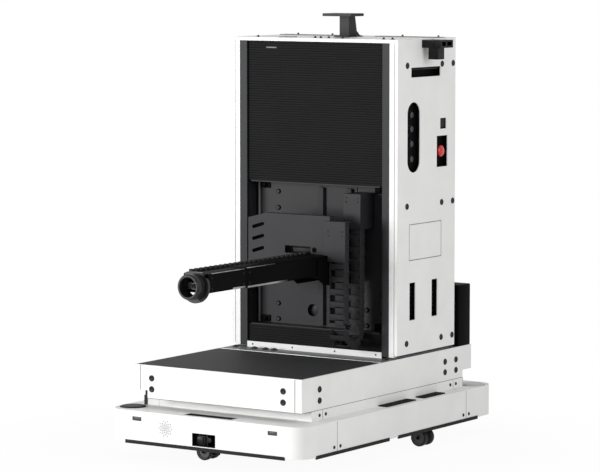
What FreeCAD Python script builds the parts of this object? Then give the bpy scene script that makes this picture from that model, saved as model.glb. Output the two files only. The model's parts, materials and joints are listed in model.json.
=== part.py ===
import FreeCAD, Part
import math
import os

# Cantilever roll-handling mobile robot. Units are millimetres.
# X points to the robot's right, Y to its rear, Z up; the floor is Z = 0.
# Everything is built about the chassis centre, then moved so that the
# origin is the bottom centre of the whole robot's box.

V = FreeCAD.Vector
UP, RIGHT, REAR = V(0, 0, 1), V(1, 0, 0), V(0, 1, 0)

# ---- chassis ----
CHASSIS_W = 810.0
CHASSIS_L = 1250.0
CHASSIS_TOP = 174.0
CORNER_R = 60.0
SKIRT_BOTTOM = 66.0
SKIRT_T = 3.0
SKIRT_SEAM = 421.0          # seam between end cover and side skirt, from the centre
SEAM_GAP = 1.0
TOP_PLATE_T = 4.0
PAN_Z = 84.0
PAN_T = 6.0
PAN_INSET = 8.0
FRAME_WALL = 4.0
PANEL_GAP = 0.5             # gap between neighbouring sheet parts
BUMPER_H = 12.0
BUMPER_BOTTOM = 60.0
BUMPER_PROUD = 2.0
BUMPER_FRONT_HALF = 330.0
BUMPER_SIDE = ((-549.0, -94.0), (-36.0, 500.0))
WINDOW_X, WINDOW_Z = 281.0, 147.0
WINDOW_W, WINDOW_H = 38.0, 14.0
RECESS_W, RECESS_H, RECESS_Z, RECESS_D = 96.0, 44.0, 97.0, 70.0
VENT_FRONT = (99.0, 42.0)   # half length and width of the slot behind the front edge
VENT_SIDE_W = 33.0
VENT_SIDE = ((-80.0, 110.0), (165.0, 310.0))
VENT_EDGE = 20.0            # top plate left between a slot and the chassis edge

# ---- corner laser scanners ----
SCANNER_X, SCANNER_Y = 353.0, 551.0
SCANNER_R = 45.0
SCANNER_GAP = 2.0
SCANNER_PROUD = 4.0
SCANNER_H = 78.0

# ---- casters and drive wheels ----
CASTER_SPOTS = {            # swivel axis and the heading of its trail, in degrees
    "front": (-68.0, -457.0, 180.0),
    "right": (328.0, 198.0, 0.0),
    "rear": (68.0, 457.0, 0.0),
    "left": (-328.0, -198.0, 180.0),
}
CASTER_R = 30.5
CASTER_TREAD = 20.0
CASTER_CHAMFER = 3.0
CASTER_SPACING = 43.0
CASTER_TRAIL = 32.0
CASTER_PLATE = 70.0
CASTER_PLATE_T = 4.0
CASTER_PLATE_CORNER = 8.0
PAN_HOLE_GAP = 4.0          # clearance round a caster stem where it passes the pan
STEM_R = 8.0
CASTER_AXLE_R = 5.0
RUN_FIT = 0.05              # radial clearance of a running fit
GAP = 0.5                   # clearance between parts that pass each other
DRIVE_R = 75.0
DRIVE_W = 44.0
DRIVE_X = 165.0
DRIVE_AXLE_R = 12.0
DRIVE_SLOT_GAP = 12.0       # clearance round a drive wheel in the pan's slot
DRIVE_CASE_W, DRIVE_CASE_L, DRIVE_CASE_DROP = 40.0, 90.0, 25.0
DRIVE_MOTOR_R, DRIVE_MOTOR_L = 28.0, 80.0
DRIVE_GAP = 4.0             # clearance between wheel, gearbox and the plates round them
BATTERY_X, BATTERY_Y = (-300.0, 60.0), (150.0, 410.0)
BATTERY_GAP = 8.0           # room left over the battery

# ---- deck ----
DECK_W = 696.0
DECK_L = 1100.0
DECK_Z0 = 208.0
DECK_TOP = 322.0
SHEET = 3.0
DECK_WALL = 8.0
DECK_RETURN = 26.0          # side panel's flange round the corner
BAND_L = 982.0
BAND_CORNER = 63.0
BAND_SEAM = 424.0
NOTCH_X, NOTCH_Y, NOTCH_TOP = 57.0, 60.0, 235.0
MAT_T = 4.0
MAT_REAR = -50.0
MAT_SLOT_PITCH = 30.0
MAT_SLOT_L, MAT_SLOT_W = 16.0, 5.0
MAT_SLOT_INSET = 12.0
PLUG_R = 9.0
PLUG_H = 3.0
PLUG_ROWS = (240.0, 278.0)
PLUG_FRONT_X = 273.0
PLUG_SIDE_Y = (-443.0, 368.0, 443.0)
SCREW_R = 5.0
SCREW_H = 2.0

# ---- tower ----
TOWER_PROUD = 2.0           # how far the tower stands out beyond the deck, each side
TOWER_W = DECK_W + 2 * TOWER_PROUD
TOWER_Y0 = 42.0
TOWER_Y1 = 427.0
TOWER_TOP = 1434.0
TOP_LIP = 12.0              # height of the cap's lip over the opening
BASE_T = 6.0
PANEL_Z0 = 334.0
PANEL_FRONT = 12.0          # width of the side panel's front flange
POST_INSET = (34.0, 14.5)   # of the posts' inner and outer faces from the tower's side
POST_IN, POST_OUT = (TOWER_W / 2 - inset for inset in POST_INSET)
GUIDE_INSET = 64.0
GUIDE_IN = TOWER_W / 2 - GUIDE_INSET
GUIDE_D = 20.0
GUIDE_SLOT = 13.0
FRAME_T = 30.0
OPEN_TOP = TOWER_TOP - TOP_LIP
SILL_TOP = 343.0
CURTAIN_T = 6.0
CURTAIN_Y = 50.0
PLEAT_PITCH = 14.0
PLEAT_DEPTH = 1.4
UPPER_EDGE = 923.0          # lower edge of the upper bellows, at rest
LOWER_EDGE = 405.0          # upper edge of the lower bellows, at rest
WALL_T = 3.0                # inner dark walls beside the lift
WALL_X = GUIDE_IN - WALL_T
WALL_REAR = 390.0
TRAY_ROOM = 24.0            # depth left behind the cladding for trays and switches
RAIL_SEAT = 5.0

# ---- lift carriage ----
PLATE_Y = 100.0
PLATE_T = 8.0
PLATE_SIDE = 13.0           # room between the carriage and the guides
PLATE_HALF = GUIDE_IN - PLATE_SIDE
SHELF_T = 4.0
LIFT_TRAVEL = 440.0
RAIL_W, RAIL_D = 20.0, 15.0
RAIL_Y = 114.0
RUNNER_L, RUNNER_WALL = 90.0, 10.0
RUNNER_INSET = 75.0
PLATE_BOLT_X = 188.0
PLATE_BOLT_Z = (424.0, 480.0, 825.0, 883.0)
PLATE_HOLE = (-41.0, 464.0, 22.0)
BOLT_R, BOLT_H = 7.0, 5.0

# ---- lift drive: closed belt axis behind the carriage ----
AXIS_HALF, AXIS_Y, AXIS_D = 45.0, 160.0, 80.0
AXIS_SLOT = (12.0, 14.0)    # half width and depth of the slot its slider runs in
MOTOR_R, MOTOR_L, MOTOR_Z = 40.0, 120.0, 410.0

# ---- arm stage ----
STAGE_RAIL_X = (0.0, 118.0)
STAGE_RAIL_W, STAGE_RAIL_D = 20.0, 12.0
STAGE_RAIL_Z = (413.0, 906.0)
STAGE_RUNNER_L, STAGE_RUNNER_D = 60.0, 22.0
STAGE_RUNNER_WALL = 10.0
STAGE_Y, STAGE_T = 65.0, 12.0
COVER_Y, COVER_T = -80.0, 3.0
COVER_X = (-195.0, 150.0)
COVER_Z = (590.0, 822.0)
COVER_CLIP = (74.0, 19.0)
COVER_FLANGE = 30.0
COVER_SLOTS = (692.0, 735.0, 777.0)
COVER_SLOT_L, COVER_SLOT_R, COVER_SLOT_TILT = 54.0, 6.0, 17.0
COVER_SLOT_X = -153.0
COVER_WINDOW = (-39.0, 69.0, 26.0)   # left and right edge, and height above the beam
COVER_HOLE = (85.0, 702.0, 6.0)
CHEEK_T = 5.0
CHEEK_INSET = 5.0

# ---- cantilever arm ----
ARM_X, ARM_HALF = 88.0, 54.0
ARM_Z = (618.0, 686.0)
ARM_WALL = 6.0
ARM_JOINT_Y = -572.0
ARM_STEP = 2.0              # how much slimmer the beam's front part is, each side
ARM_END_Y = -785.0
ARM_CHAMFER = 5.0
ROOT_T = 6.0
ROOT_FRONT = -150.0
ROOT_Z = (583.0, 676.0)
ROOT_STEP = 45.0
CARRIER_X, CARRIER_W = 49.0, 18.0
CARRIER_PITCH, CARRIER_H = 28.0, 8.0
CARRIER_BASE = 2.0
CARRIER_Y = (-770.0, -10.0)
NOSE_Z = 642.0
FLANGE_R, FLANGE_T, FLANGE_FLAT = 56.5, 12.0, 47.0
NOSE_R, NOSE_BORE, NOSE_L = 43.0, 33.0, 38.0
NOSE_CHAMFER = 3.0
TIP_CAM_W, TIP_BAR_T = 24.0, 6.0
TIP_SCREW_PCD, TIP_SCREW_R = 99.0, 3.0

# ---- energy chain ----
CHAIN_X = (152.0, 216.0)
CHAIN_T = 30.0
CHAIN_FRONT = -88.0
CHAIN_BEND = 50.0           # bend radius of the chain's middle line
CHAIN_PITCH = 44.0
CHAIN_LEG_Z = 424.0         # height of the bend's centre
CHAIN_WALL = 4.0
BRIDGE_L = 26.0             # crossbar that closes each chain link, along the chain
BRIDGE_T = 5.0
BRIDGE_SINK = 1.0           # how far a bend's crossbar sits inside the plates' edge
BRACKET_LOW = (133.0, 221.0, 666.0, 806.0)
BRACKET_HIGH_Z = (773.0, 896.0)
BRACKET_T = 4.0

# ---- top mast and side sensor ----
MAST_HALF = 20.0
MAST_Y = (240.0, 280.0)
MAST_PLATE = (60.0, 190.0, 275.0)
MAST_H = 84.0
MAST_TOP = TOWER_TOP + MAST_H
MAST_PLATE_T = 10.0
MAST_TAPER = 12.0           # how much deeper the stalk is at its foot
MAST_FOOT, MAST_FOOT_H = 14.0, 20.0
MAST_HOLE_R = 3.3
MAST_HOLE_DX, MAST_HOLE_DY = 96.0, 30.0
MAST_HOLE_EDGE = 10.0
SENSOR_Y = (199.0, 280.0)
SENSOR_REACH = 78.0
SENSOR_DROP = (31.0, 4.0)   # below the tower's top
SENSOR_Z = tuple(TOWER_TOP - drop for drop in SENSOR_DROP)
LUG_OUT = (27.0, 67.0)      # beyond the tower's side
LUG_X = tuple(TOWER_W / 2 + out for out in LUG_OUT)
LUG_DROP = 71.0
LUG_Z = TOWER_TOP - LUG_DROP
LUG_L = 40.0

# ---- side controls ----
CONTROL_Y = 147.0
CONTROL_W, CONTROL_H, CONTROL_Z = 82.0, 246.0, 1092.0
CONTROL_D = 14.0
BUTTON_Z = (1016.0, 1069.0, 1121.0, 1170.0)
BUTTON_R = 11.0
BUTTON_TRAVEL = 2.5
ESTOP_Y, ESTOP_Z = 338.0, 1034.0
ESTOP_W, ESTOP_H, ESTOP_D = 72.0, 110.0, 16.0
ESTOP_R = 20.0
ESTOP_HEAD_T, ESTOP_CHAMFER = 14.0, 4.0
ESTOP_BACK = 4.0            # stem left behind the tray
ESTOP_STEM_R = 9.0
ESTOP_TRAVEL = 5.0
LABEL_Y, LABEL_Z, LABEL_W, LABEL_H = 227.0, 725.0, 216.0, 128.0
LABEL_LINE, LABEL_GROOVE = 3.0, 1.0
POCKET_T, POCKET_RIM = 2.0, 5.0
HANDLE_DROP = 116.0         # handle pocket's centre below the tower's top
POCKETS = (                 # centre Y and Z, width, height and depth of each opening in the right panel
    (227.0, TOWER_TOP - HANDLE_DROP, 193.0, 34.0, 22.0),
    (142.0, 517.0, 38.0, 132.0, 18.0),
    (290.0, 517.0, 38.0, 132.0, 18.0),
    (345.0, 1132.0, 40.0, 38.0, 4.0),
)
TOP_SCREW_INSET, TOP_SCREW_PITCH = 50.0, 150.0
TOP_SCREW_X = tuple(side * (TOWER_W / 2 - inset) for side, inset in (
    (-1, TOP_SCREW_INSET), (-1, TOP_SCREW_INSET + TOP_SCREW_PITCH),
    (1, TOP_SCREW_INSET + TOP_SCREW_PITCH), (1, TOP_SCREW_INSET)))
TOP_SCREW_Y = (80.0, 390.0)
TOWER_SCREW_Y = (104.0, 336.0, 411.0)
SCREW_DROP = 91.0           # top row of screws below the tower's top
TOWER_SCREW_Z = (371.0, 853.0, TOWER_TOP - SCREW_DROP)

# ---- rear box ----
REAR_BOX_Y = (459.0, 545.0)
REAR_BOX_TOP = 544.0

HALF_W, HALF_L = CHASSIS_W / 2, CHASSIS_L / 2
DECK_HX, DECK_HY = DECK_W / 2, DECK_L / 2
TOWER_HX = TOWER_W / 2
NOSE_TIP = ARM_END_Y - FLANGE_T - NOSE_L
CHAIN_MID_FRONT = CHAIN_FRONT + CHAIN_T / 2
CHAIN_MID_REAR = CHAIN_MID_FRONT + 2 * CHAIN_BEND
STAND_Z = DECK_TOP + BASE_T
FRAME_X = TOWER_HX - SHEET - PANEL_GAP
ORIGIN = V(0, -(NOSE_TIP + HALF_L + BUMPER_PROUD) / 2, 0)


def box(x0, x1, y0, y1, z0, z1):
    return Part.makeBox(x1 - x0, y1 - y0, z1 - z0, V(x0, y0, z0))


def cyl(radius, start, axis, length):
    return Part.makeCylinder(radius, length, start, axis)


def ring(outer, inner, start, axis, length):
    return cyl(outer, start, axis, length).cut(cyl(inner, start, axis, length))


def fuse(shapes):
    first, rest = shapes[0], shapes[1:]
    return first.fuse(rest).removeSplitter() if rest else first


def group(shapes):
    return Part.makeCompound(shapes)


def prism(points, direction):
    wire = Part.makePolygon(points + [points[0]])
    return Part.Face(wire).extrude(direction)


def mirror_x(shape):
    return shape.mirror(V(0, 0, 0), RIGHT)


def hex_head(radius, start, axis, height):
    """Hexagon screw head on a flat face, radius over its corners."""
    across = V(axis.y, axis.z, axis.x)
    points = [start + FreeCAD.Rotation(axis, 60 * i).multVec(across) * radius for i in range(6)]
    return prism(points, axis * height)


def half_turn(shape):
    turned = shape.copy()
    turned.rotate(V(0, 0, 0), UP, 180)
    return turned


def rounded_slab(half_x, half_y, radius, z0, z1):
    slab = box(-half_x, half_x, -half_y, half_y, z0, z1)
    upright = [e for e in slab.Edges if abs(e.tangentAt(e.FirstParameter).z) > 0.9]
    return slab.makeFillet(radius, upright)


def obround_x(y, z, width, height, x0, x1):
    """Upright obround block whose length runs along Z and which is x0 to x1 deep."""
    r = width / 2
    straight = height / 2 - r
    parts = [box(x0, x1, y - r, y + r, z - straight, z + straight)]
    for end in (z - straight, z + straight):
        parts.append(cyl(r, V(x0, y, end), RIGHT, x1 - x0))
    return fuse(parts)


def save(name, shape):
    placed = shape.copy()
    placed.translate(ORIGIN)
    placed.exportStep("parts/" + name + ".step")


# ---------------------------------------------------------------- chassis
def skirt_ring():
    outer = rounded_slab(HALF_W, HALF_L, CORNER_R, SKIRT_BOTTOM, CHASSIS_TOP)
    inner = rounded_slab(HALF_W - SKIRT_T, HALF_L - SKIRT_T, CORNER_R - SKIRT_T, SKIRT_BOTTOM, CHASSIS_TOP)
    return outer.cut(inner)


def end_cover():
    """Front cover that wraps both front corners up to the seams."""
    keep = box(-HALF_W, HALF_W, -HALF_L, -SKIRT_SEAM - SEAM_GAP / 2, SKIRT_BOTTOM, CHASSIS_TOP)
    cover = skirt_ring().common(keep)
    y0, y1 = -HALF_L, -HALF_L + SKIRT_T
    for side in (-1, 1):
        x = side * WINDOW_X
        cover = cover.cut(box(x - WINDOW_W / 2, x + WINDOW_W / 2, y0, y1,
                              WINDOW_Z - WINDOW_H / 2, WINDOW_Z + WINDOW_H / 2))
    cover = cover.cut(box(-RECESS_W / 2, RECESS_W / 2, y0, y1,
                          RECESS_Z - RECESS_H / 2, RECESS_Z + RECESS_H / 2))
    return cover


def side_skirt():
    keep = box(HALF_W - SKIRT_T, HALF_W, -SKIRT_SEAM + SEAM_GAP / 2, SKIRT_SEAM - SEAM_GAP / 2,
               SKIRT_BOTTOM, CHASSIS_TOP)
    return skirt_ring().common(keep)


def window_pane():
    y0 = -HALF_L + GAP
    panes = []
    for side in (-1, 1):
        x = side * WINDOW_X
        panes.append(box(x - WINDOW_W / 2, x + WINDOW_W / 2, y0, y0 + SKIRT_T,
                         WINDOW_Z - WINDOW_H / 2, WINDOW_Z + WINDOW_H / 2))
    return panes


def recess_liner():
    """Black box behind the opening in the front cover."""
    w, h, t = RECESS_W / 2, RECESS_H / 2, POCKET_T
    y0 = -HALF_L
    outer = box(-w, w, y0, y0 + RECESS_D, RECESS_Z - h, RECESS_Z + h)
    return outer.cut(box(-w + t, w - t, y0, y0 + RECESS_D - t, RECESS_Z - h + t, RECESS_Z + h - t))


def recess_sensor():
    """Range sensor on its angled bracket inside the front recess."""
    y0 = -HALF_L + RECESS_D / 4
    z0 = RECESS_Z - RECESS_H / 2 + POCKET_T
    top = RECESS_Z + RECESS_H / 2 - POCKET_T
    body = box(-RECESS_W / 2 + POCKET_T, -RECESS_W / 8, y0, y0 + RECESS_D / 2, z0, top - RECESS_H / 8)
    lens = cyl(RECESS_H / 5, V(RECESS_W / 8, y0 + RECESS_D / 4, RECESS_Z), REAR, RECESS_D / 4)
    shelf = box(-RECESS_W / 8, RECESS_W / 3, y0 + RECESS_D / 2 - POCKET_T, y0 + RECESS_D / 2, z0, top)
    return fuse([body, shelf, lens])


def pan_cutouts():
    cuts = []
    reach = DRIVE_R + DRIVE_SLOT_GAP
    case_inner = DRIVE_X - DRIVE_W / 2 - DRIVE_GAP - DRIVE_CASE_W
    for side in (-1, 1):
        xs = sorted((side * case_inner, side * (DRIVE_X + DRIVE_W / 2 + DRIVE_SLOT_GAP)))
        cuts.append(box(xs[0], xs[1], -reach, reach, PAN_Z, PAN_Z + PAN_T))
    for x, y, _ in CASTER_SPOTS.values():
        cuts.append(cyl(STEM_R + PAN_HOLE_GAP, V(x, y, PAN_Z), UP, PAN_T))
    return cuts


def chassis_frame():
    """Welded pan with a rim and two cross members."""
    hx, hy = HALF_W - PAN_INSET, HALF_L - PAN_INSET
    radius = CORNER_R - PAN_INSET
    top = CHASSIS_TOP - TOP_PLATE_T
    pan = rounded_slab(hx, hy, radius, PAN_Z, PAN_Z + PAN_T).cut(pan_cutouts())
    rim = rounded_slab(hx, hy, radius, PAN_Z, top)
    rim = rim.cut(rounded_slab(hx - FRAME_WALL, hy - FRAME_WALL, radius - FRAME_WALL, PAN_Z, top))
    rim = rim.cut(box(-RECESS_W / 2 - GAP, RECESS_W / 2 + GAP, -HALF_L, HALF_L, PAN_Z + PAN_T,
                      RECESS_Z + RECESS_H / 2 + GAP))
    rim = rim.cut(box(-RECESS_W / 2 - GAP, RECESS_W / 2 + GAP, -HALF_L, -hy + FRAME_WALL + GAP, PAN_Z,
                      PAN_Z + PAN_T))
    cross = []
    for side in (-1, 1):
        y = side * (DRIVE_R + 40)
        cross.append(box(-hx + FRAME_WALL / 2, hx - FRAME_WALL / 2, y - FRAME_WALL, y + FRAME_WALL, PAN_Z, top))
    whole = fuse([pan, rim] + cross)
    port = box(-RECESS_W / 2 - GAP, RECESS_W / 2 + GAP, -HALF_L, -HALF_L + RECESS_D + GAP, PAN_Z,
               RECESS_Z + RECESS_H / 2 + GAP)
    well = cyl(SCANNER_R + SCANNER_GAP, V(-SCANNER_X, -SCANNER_Y, PAN_Z), UP, top - PAN_Z)
    return whole.cut([port, half_turn(port), well, half_turn(well)])


def top_plate():
    inset = SKIRT_T + PANEL_GAP
    plate = rounded_slab(HALF_W - inset, HALF_L - inset, CORNER_R - inset,
                         CHASSIS_TOP - TOP_PLATE_T, CHASSIS_TOP)
    half, width = VENT_FRONT
    z0, z1 = CHASSIS_TOP - TOP_PLATE_T, CHASSIS_TOP
    y0 = -HALF_L + VENT_EDGE
    cuts = [box(-half, half, y0, y0 + width, z0, z1)]
    for a, b in VENT_SIDE:
        cuts.append(box(HALF_W - VENT_EDGE - VENT_SIDE_W, HALF_W - VENT_EDGE, a, b, z0, z1))
    cuts.append(cyl(SCANNER_R + SCANNER_GAP, V(-SCANNER_X, -SCANNER_Y, z0), UP, TOP_PLATE_T))
    return plate.cut(cuts + [half_turn(c) for c in cuts])


def bumper(half, depth):
    """Straight rubber strip along the front skirt's lower edge."""
    y = -HALF_L
    strip = box(-half, half, y - BUMPER_PROUD, y, BUMPER_BOTTOM, BUMPER_BOTTOM + BUMPER_H)
    lip = box(-half, half, y, y + depth, BUMPER_BOTTOM, SKIRT_BOTTOM - GAP)
    return fuse([strip, lip])


def side_bumpers():
    strips = []
    for y0, y1 in BUMPER_SIDE:
        outer = box(HALF_W, HALF_W + BUMPER_PROUD, y0, y1, BUMPER_BOTTOM, BUMPER_BOTTOM + BUMPER_H)
        lip = box(HALF_W - SKIRT_T, HALF_W, y0, y1, BUMPER_BOTTOM, SKIRT_BOTTOM - GAP)
        strips.append(fuse([outer, lip]))
    return strips + [half_turn(s) for s in strips]


def corner_scanner():
    """Safety laser scanner at the front left corner: body, window ring and cap."""
    z1 = CHASSIS_TOP + SCANNER_PROUD
    z0 = z1 - SCANNER_H
    base = V(-SCANNER_X, -SCANNER_Y, z0)
    body = cyl(SCANNER_R, base, UP, SCANNER_H * 0.45)
    neck = cyl(SCANNER_R - 8, base, UP, SCANNER_H - 10)
    cap = cyl(SCANNER_R, V(base.x, base.y, z1 - 14), UP, 14)
    return fuse([body, neck, cap.makeChamfer(2, [cap.Edges[0]])])


# ---------------------------------------------------------------- running gear
def at_caster(shape, spot):
    x, y, heading = spot
    placed = shape.copy()
    placed.rotate(V(0, 0, 0), UP, heading)
    placed.translate(V(x, y, 0))
    return placed


def caster_plate():
    half = CASTER_PLATE / 2
    z0 = PAN_Z - CASTER_PLATE_T
    plate = box(-half, half, -half, half, z0, PAN_Z)
    upright = [e for e in plate.Edges if abs(e.tangentAt(e.FirstParameter).z) > 0.9]
    plate = plate.makeChamfer(CASTER_PLATE_CORNER, upright)
    return plate.cut(cyl(STEM_R + RUN_FIT, V(0, 0, z0), UP, CASTER_PLATE_T))


def caster_fork():
    """Swivel head, the web between the two wheels and the axle."""
    top = PAN_Z - CASTER_PLATE_T - GAP
    half = CASTER_SPACING / 2 - CASTER_TREAD / 2 - 2
    head = cyl(CASTER_PLATE / 2 - 4, V(0, 0, top - 8), UP, 8)
    stem = cyl(STEM_R, V(0, 0, top), UP, GAP + CASTER_PLATE_T + PAN_T)
    web = prism([V(-14, -half, top - 8), V(-10, -half, CASTER_R + 8), V(CASTER_TRAIL - 10, -half, CASTER_R - 12),
                 V(CASTER_TRAIL + 12, -half, CASTER_R - 8), V(CASTER_TRAIL + 10, -half, top - 8)],
                V(0, 2 * half, 0))
    reach = CASTER_SPACING / 2 + CASTER_TREAD / 2 + 2
    axle = cyl(CASTER_AXLE_R, V(CASTER_TRAIL, -reach, CASTER_R), REAR, 2 * reach)
    return fuse([head, stem, web, axle])


def caster_wheels():
    wheels = []
    for side in (-1, 1):
        y0 = side * CASTER_SPACING / 2 - CASTER_TREAD / 2
        start = V(CASTER_TRAIL, y0, CASTER_R)
        tread = cyl(CASTER_R, start, REAR, CASTER_TREAD)
        rims = [e for e in tread.Edges if e.Curve.TypeId == "Part::GeomCircle"]
        tread = tread.makeChamfer(CASTER_CHAMFER, rims)
        wheels.append(tread.cut(cyl(CASTER_AXLE_R + RUN_FIT, start, REAR, CASTER_TREAD)))
    return group(wheels)


def drive_wheel():
    """Right-hand drive wheel, its tyre bonded to the hub."""
    start = V(DRIVE_X - DRIVE_W / 2, 0, DRIVE_R)
    return ring(DRIVE_R, DRIVE_AXLE_R + RUN_FIT, start, RIGHT, DRIVE_W)


def drive_unit():
    """Gearbox with the wheel's stub axle, and its motor."""
    outer = DRIVE_X - DRIVE_W / 2 - DRIVE_GAP
    inner = outer - DRIVE_CASE_W
    half = DRIVE_CASE_L / 2
    case = box(inner, outer, -half, half, DRIVE_R - DRIVE_CASE_DROP, CHASSIS_TOP - TOP_PLATE_T - DRIVE_GAP)
    axle = cyl(DRIVE_AXLE_R, V(outer, 0, DRIVE_R), RIGHT, DRIVE_GAP + DRIVE_W)
    motor_z = PAN_Z + PAN_T + DRIVE_GAP + DRIVE_MOTOR_R
    motor = cyl(DRIVE_MOTOR_R, V(inner - DRIVE_MOTOR_L, 0, motor_z), RIGHT, DRIVE_MOTOR_L)
    return fuse([case, axle, motor])


# ---------------------------------------------------------------- deck
def deck_notch():
    """Cut under the front left corner that clears the scanner."""
    return box(-DECK_HX - 1, -DECK_HX + NOTCH_X, -DECK_HY - 1, -DECK_HY + NOTCH_Y, DECK_Z0 - 1, NOTCH_TOP)


def deck_side_panel():
    """Right side sheet with a flange round each corner."""
    z0, z1 = DECK_Z0, DECK_TOP
    sheet = box(DECK_HX - SHEET, DECK_HX, -DECK_HY, DECK_HY, z0, z1)
    flanges = [box(DECK_HX - DECK_RETURN, DECK_HX, s * DECK_HY - (SHEET if s > 0 else 0),
                   s * DECK_HY + (SHEET if s < 0 else 0), z0, z1) for s in (-1, 1)]
    return fuse([sheet] + flanges).cut(half_turn(deck_notch()))


def deck_end_panel():
    half = DECK_HX - DECK_RETURN - SEAM_GAP
    panel = box(-half, half, -DECK_HY, -DECK_HY + SHEET, DECK_Z0, DECK_TOP)
    return panel.cut(deck_notch())


def deck_frame():
    """Inner steel ring and bearers that carry the top plate and the tower."""
    z0, z1 = DECK_Z0, DECK_TOP - MAT_T
    inset = SHEET + PANEL_GAP
    hx, hy = DECK_HX - inset, DECK_HY - inset
    outer = box(-hx, hx, -hy, hy, z0, z1)
    wall = DECK_WALL
    bays = []
    spans = ((-hy + wall, TOWER_Y0 - wall), (TOWER_Y0 + wall, hy - wall))
    for y0, y1 in spans:
        for x0, x1 in ((-hx + wall, -wall / 2), (wall / 2, hx - wall)):
            bays.append(box(x0, x1, y0, y1, z0, z1 - MAT_T))
    notch = box(-hx - 1, -DECK_HX + NOTCH_X + inset, -hy - 1, -DECK_HY + NOTCH_Y + inset, z0 - 1,
                NOTCH_TOP + inset)
    ring_hy = BAND_L / 2 - inset
    core = box(-hx, hx, -ring_hy, ring_hy, CHASSIS_TOP, z0)
    core = core.cut(box(-hx + wall, hx - wall, -ring_hy + wall, ring_hy - wall, CHASSIS_TOP, z0))
    return fuse([outer.cut(bays + [notch, half_turn(notch)]), core])


def deck_mat():
    """Black loading surface, perforated along both long edges."""
    mat = box(-DECK_HX + SHEET + PANEL_GAP, DECK_HX - SHEET - PANEL_GAP,
              -DECK_HY + SHEET + PANEL_GAP, MAT_REAR, DECK_TOP - MAT_T, DECK_TOP)
    count = int((MAT_REAR + DECK_HY - 2 * MAT_SLOT_INSET) / MAT_SLOT_PITCH)
    slots = []
    for i in range(count):
        y = -DECK_HY + MAT_SLOT_INSET + (i + 0.5) * MAT_SLOT_PITCH
        for side in (-1, 1):
            x = side * (DECK_HX - MAT_SLOT_INSET)
            slots.append(box(x - MAT_SLOT_W / 2, x + MAT_SLOT_W / 2, y - MAT_SLOT_L / 2, y + MAT_SLOT_L / 2,
                             DECK_TOP - MAT_T, DECK_TOP))
    return mat.cut(slots)


def lower_band():
    """Set-in plinth between chassis and deck: four panels and four corner blocks."""
    hx, hy = DECK_HX, BAND_L / 2
    z0, z1 = CHASSIS_TOP, DECK_Z0 - PANEL_GAP
    shell = box(-hx, hx, -hy, hy, z0, z1).cut(box(-hx + SHEET, hx - SHEET, -hy + SHEET, hy - SHEET, z0, z1))
    g = SEAM_GAP / 2
    corner_x, corner_y = hx - BAND_CORNER, BAND_SEAM
    pieces = []
    for sx in (-1, 1):
        for sy in (-1, 1):
            xs = sorted((sx * (corner_x + g), sx * hx))
            ys = sorted((sy * (corner_y + g), sy * hy))
            pieces.append(shell.common(box(xs[0], xs[1], ys[0], ys[1], z0, z1)))
        ends = sorted((sx * (hx - SHEET), sx * hx))
        pieces.append(box(ends[0], ends[1], -corner_y + g, corner_y - g, z0, z1))
        ends = sorted((sx * (hy - SHEET), sx * hy))
        pieces.append(box(-corner_x + g, corner_x - g, ends[0], ends[1], z0, z1))
    return group(pieces)


def scanner_bracket():
    """Black corner plate behind the scanner."""
    y = -BAND_L / 2
    return box(-DECK_HX, -DECK_HX + 13, y - 2, y, CHASSIS_TOP, DECK_Z0 - GAP)


def deck_plugs():
    plugs = []
    for z in PLUG_ROWS:
        for side in (-1, 1):
            plugs.append(hex_head(PLUG_R, V(side * PLUG_FRONT_X, -DECK_HY, z), V(0, -1, 0), PLUG_H))
        for y in PLUG_SIDE_Y:
            plugs.append(hex_head(PLUG_R, V(DECK_HX, y, z), RIGHT, PLUG_H))
    return plugs + [half_turn(p) for p in plugs]


def trim_screws():
    """Small screws each side of the skirt and plinth seams."""
    heads = []
    for side in (-1, 1):
        for seam, x, z in ((SKIRT_SEAM, HALF_W, SKIRT_BOTTOM + 20), (BAND_SEAM, DECK_HX, CHASSIS_TOP + 16)):
            for off in (-19, 19):
                heads.append(hex_head(SCREW_R, V(x, side * seam + off, z), RIGHT, SCREW_H))
    return heads + [half_turn(h) for h in heads]


# ---------------------------------------------------------------- tower
def tower_base():
    """Grey base plate on the deck with the foot that the tower stands on."""
    hx = DECK_HX - SHEET - PANEL_GAP
    low = box(-hx, hx, MAT_REAR + GAP, DECK_HY - SHEET - PANEL_GAP, DECK_TOP - MAT_T, DECK_TOP)
    foot = box(-TOWER_HX + PANEL_FRONT, TOWER_HX - PANEL_FRONT, TOWER_Y0 + GUIDE_D + GAP, TOWER_Y1 - PANEL_FRONT,
               DECK_TOP, STAND_Z)
    return fuse([low, foot])


def side_panel():
    """Plain cladding panel with a flange folded over the front."""
    sheet = box(TOWER_HX - SHEET, TOWER_HX, TOWER_Y0, TOWER_Y1, PANEL_Z0, TOWER_TOP)
    flange = box(TOWER_HX - PANEL_FRONT, TOWER_HX, TOWER_Y0, TOWER_Y0 + SHEET, PANEL_Z0, TOWER_TOP)
    return fuse([sheet, flange])


def control_side_panel():
    """Right-hand panel with every opening of the operator's side."""
    x0, x1 = TOWER_HX - SHEET, TOWER_HX
    cuts = [obround_x(CONTROL_Y, CONTROL_Z, CONTROL_W, CONTROL_H, x0, x1),
            box(x0, x1, ESTOP_Y - ESTOP_W / 2, ESTOP_Y + ESTOP_W / 2, ESTOP_Z - ESTOP_H / 2, ESTOP_Z + ESTOP_H / 2)]
    for y, z, w, h, _ in POCKETS:
        cuts.append(box(x0, x1, y - w / 2, y + w / 2, z - h / 2, z + h / 2))
    frame = label_frame()
    return side_panel().cut(cuts + [frame])


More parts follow.
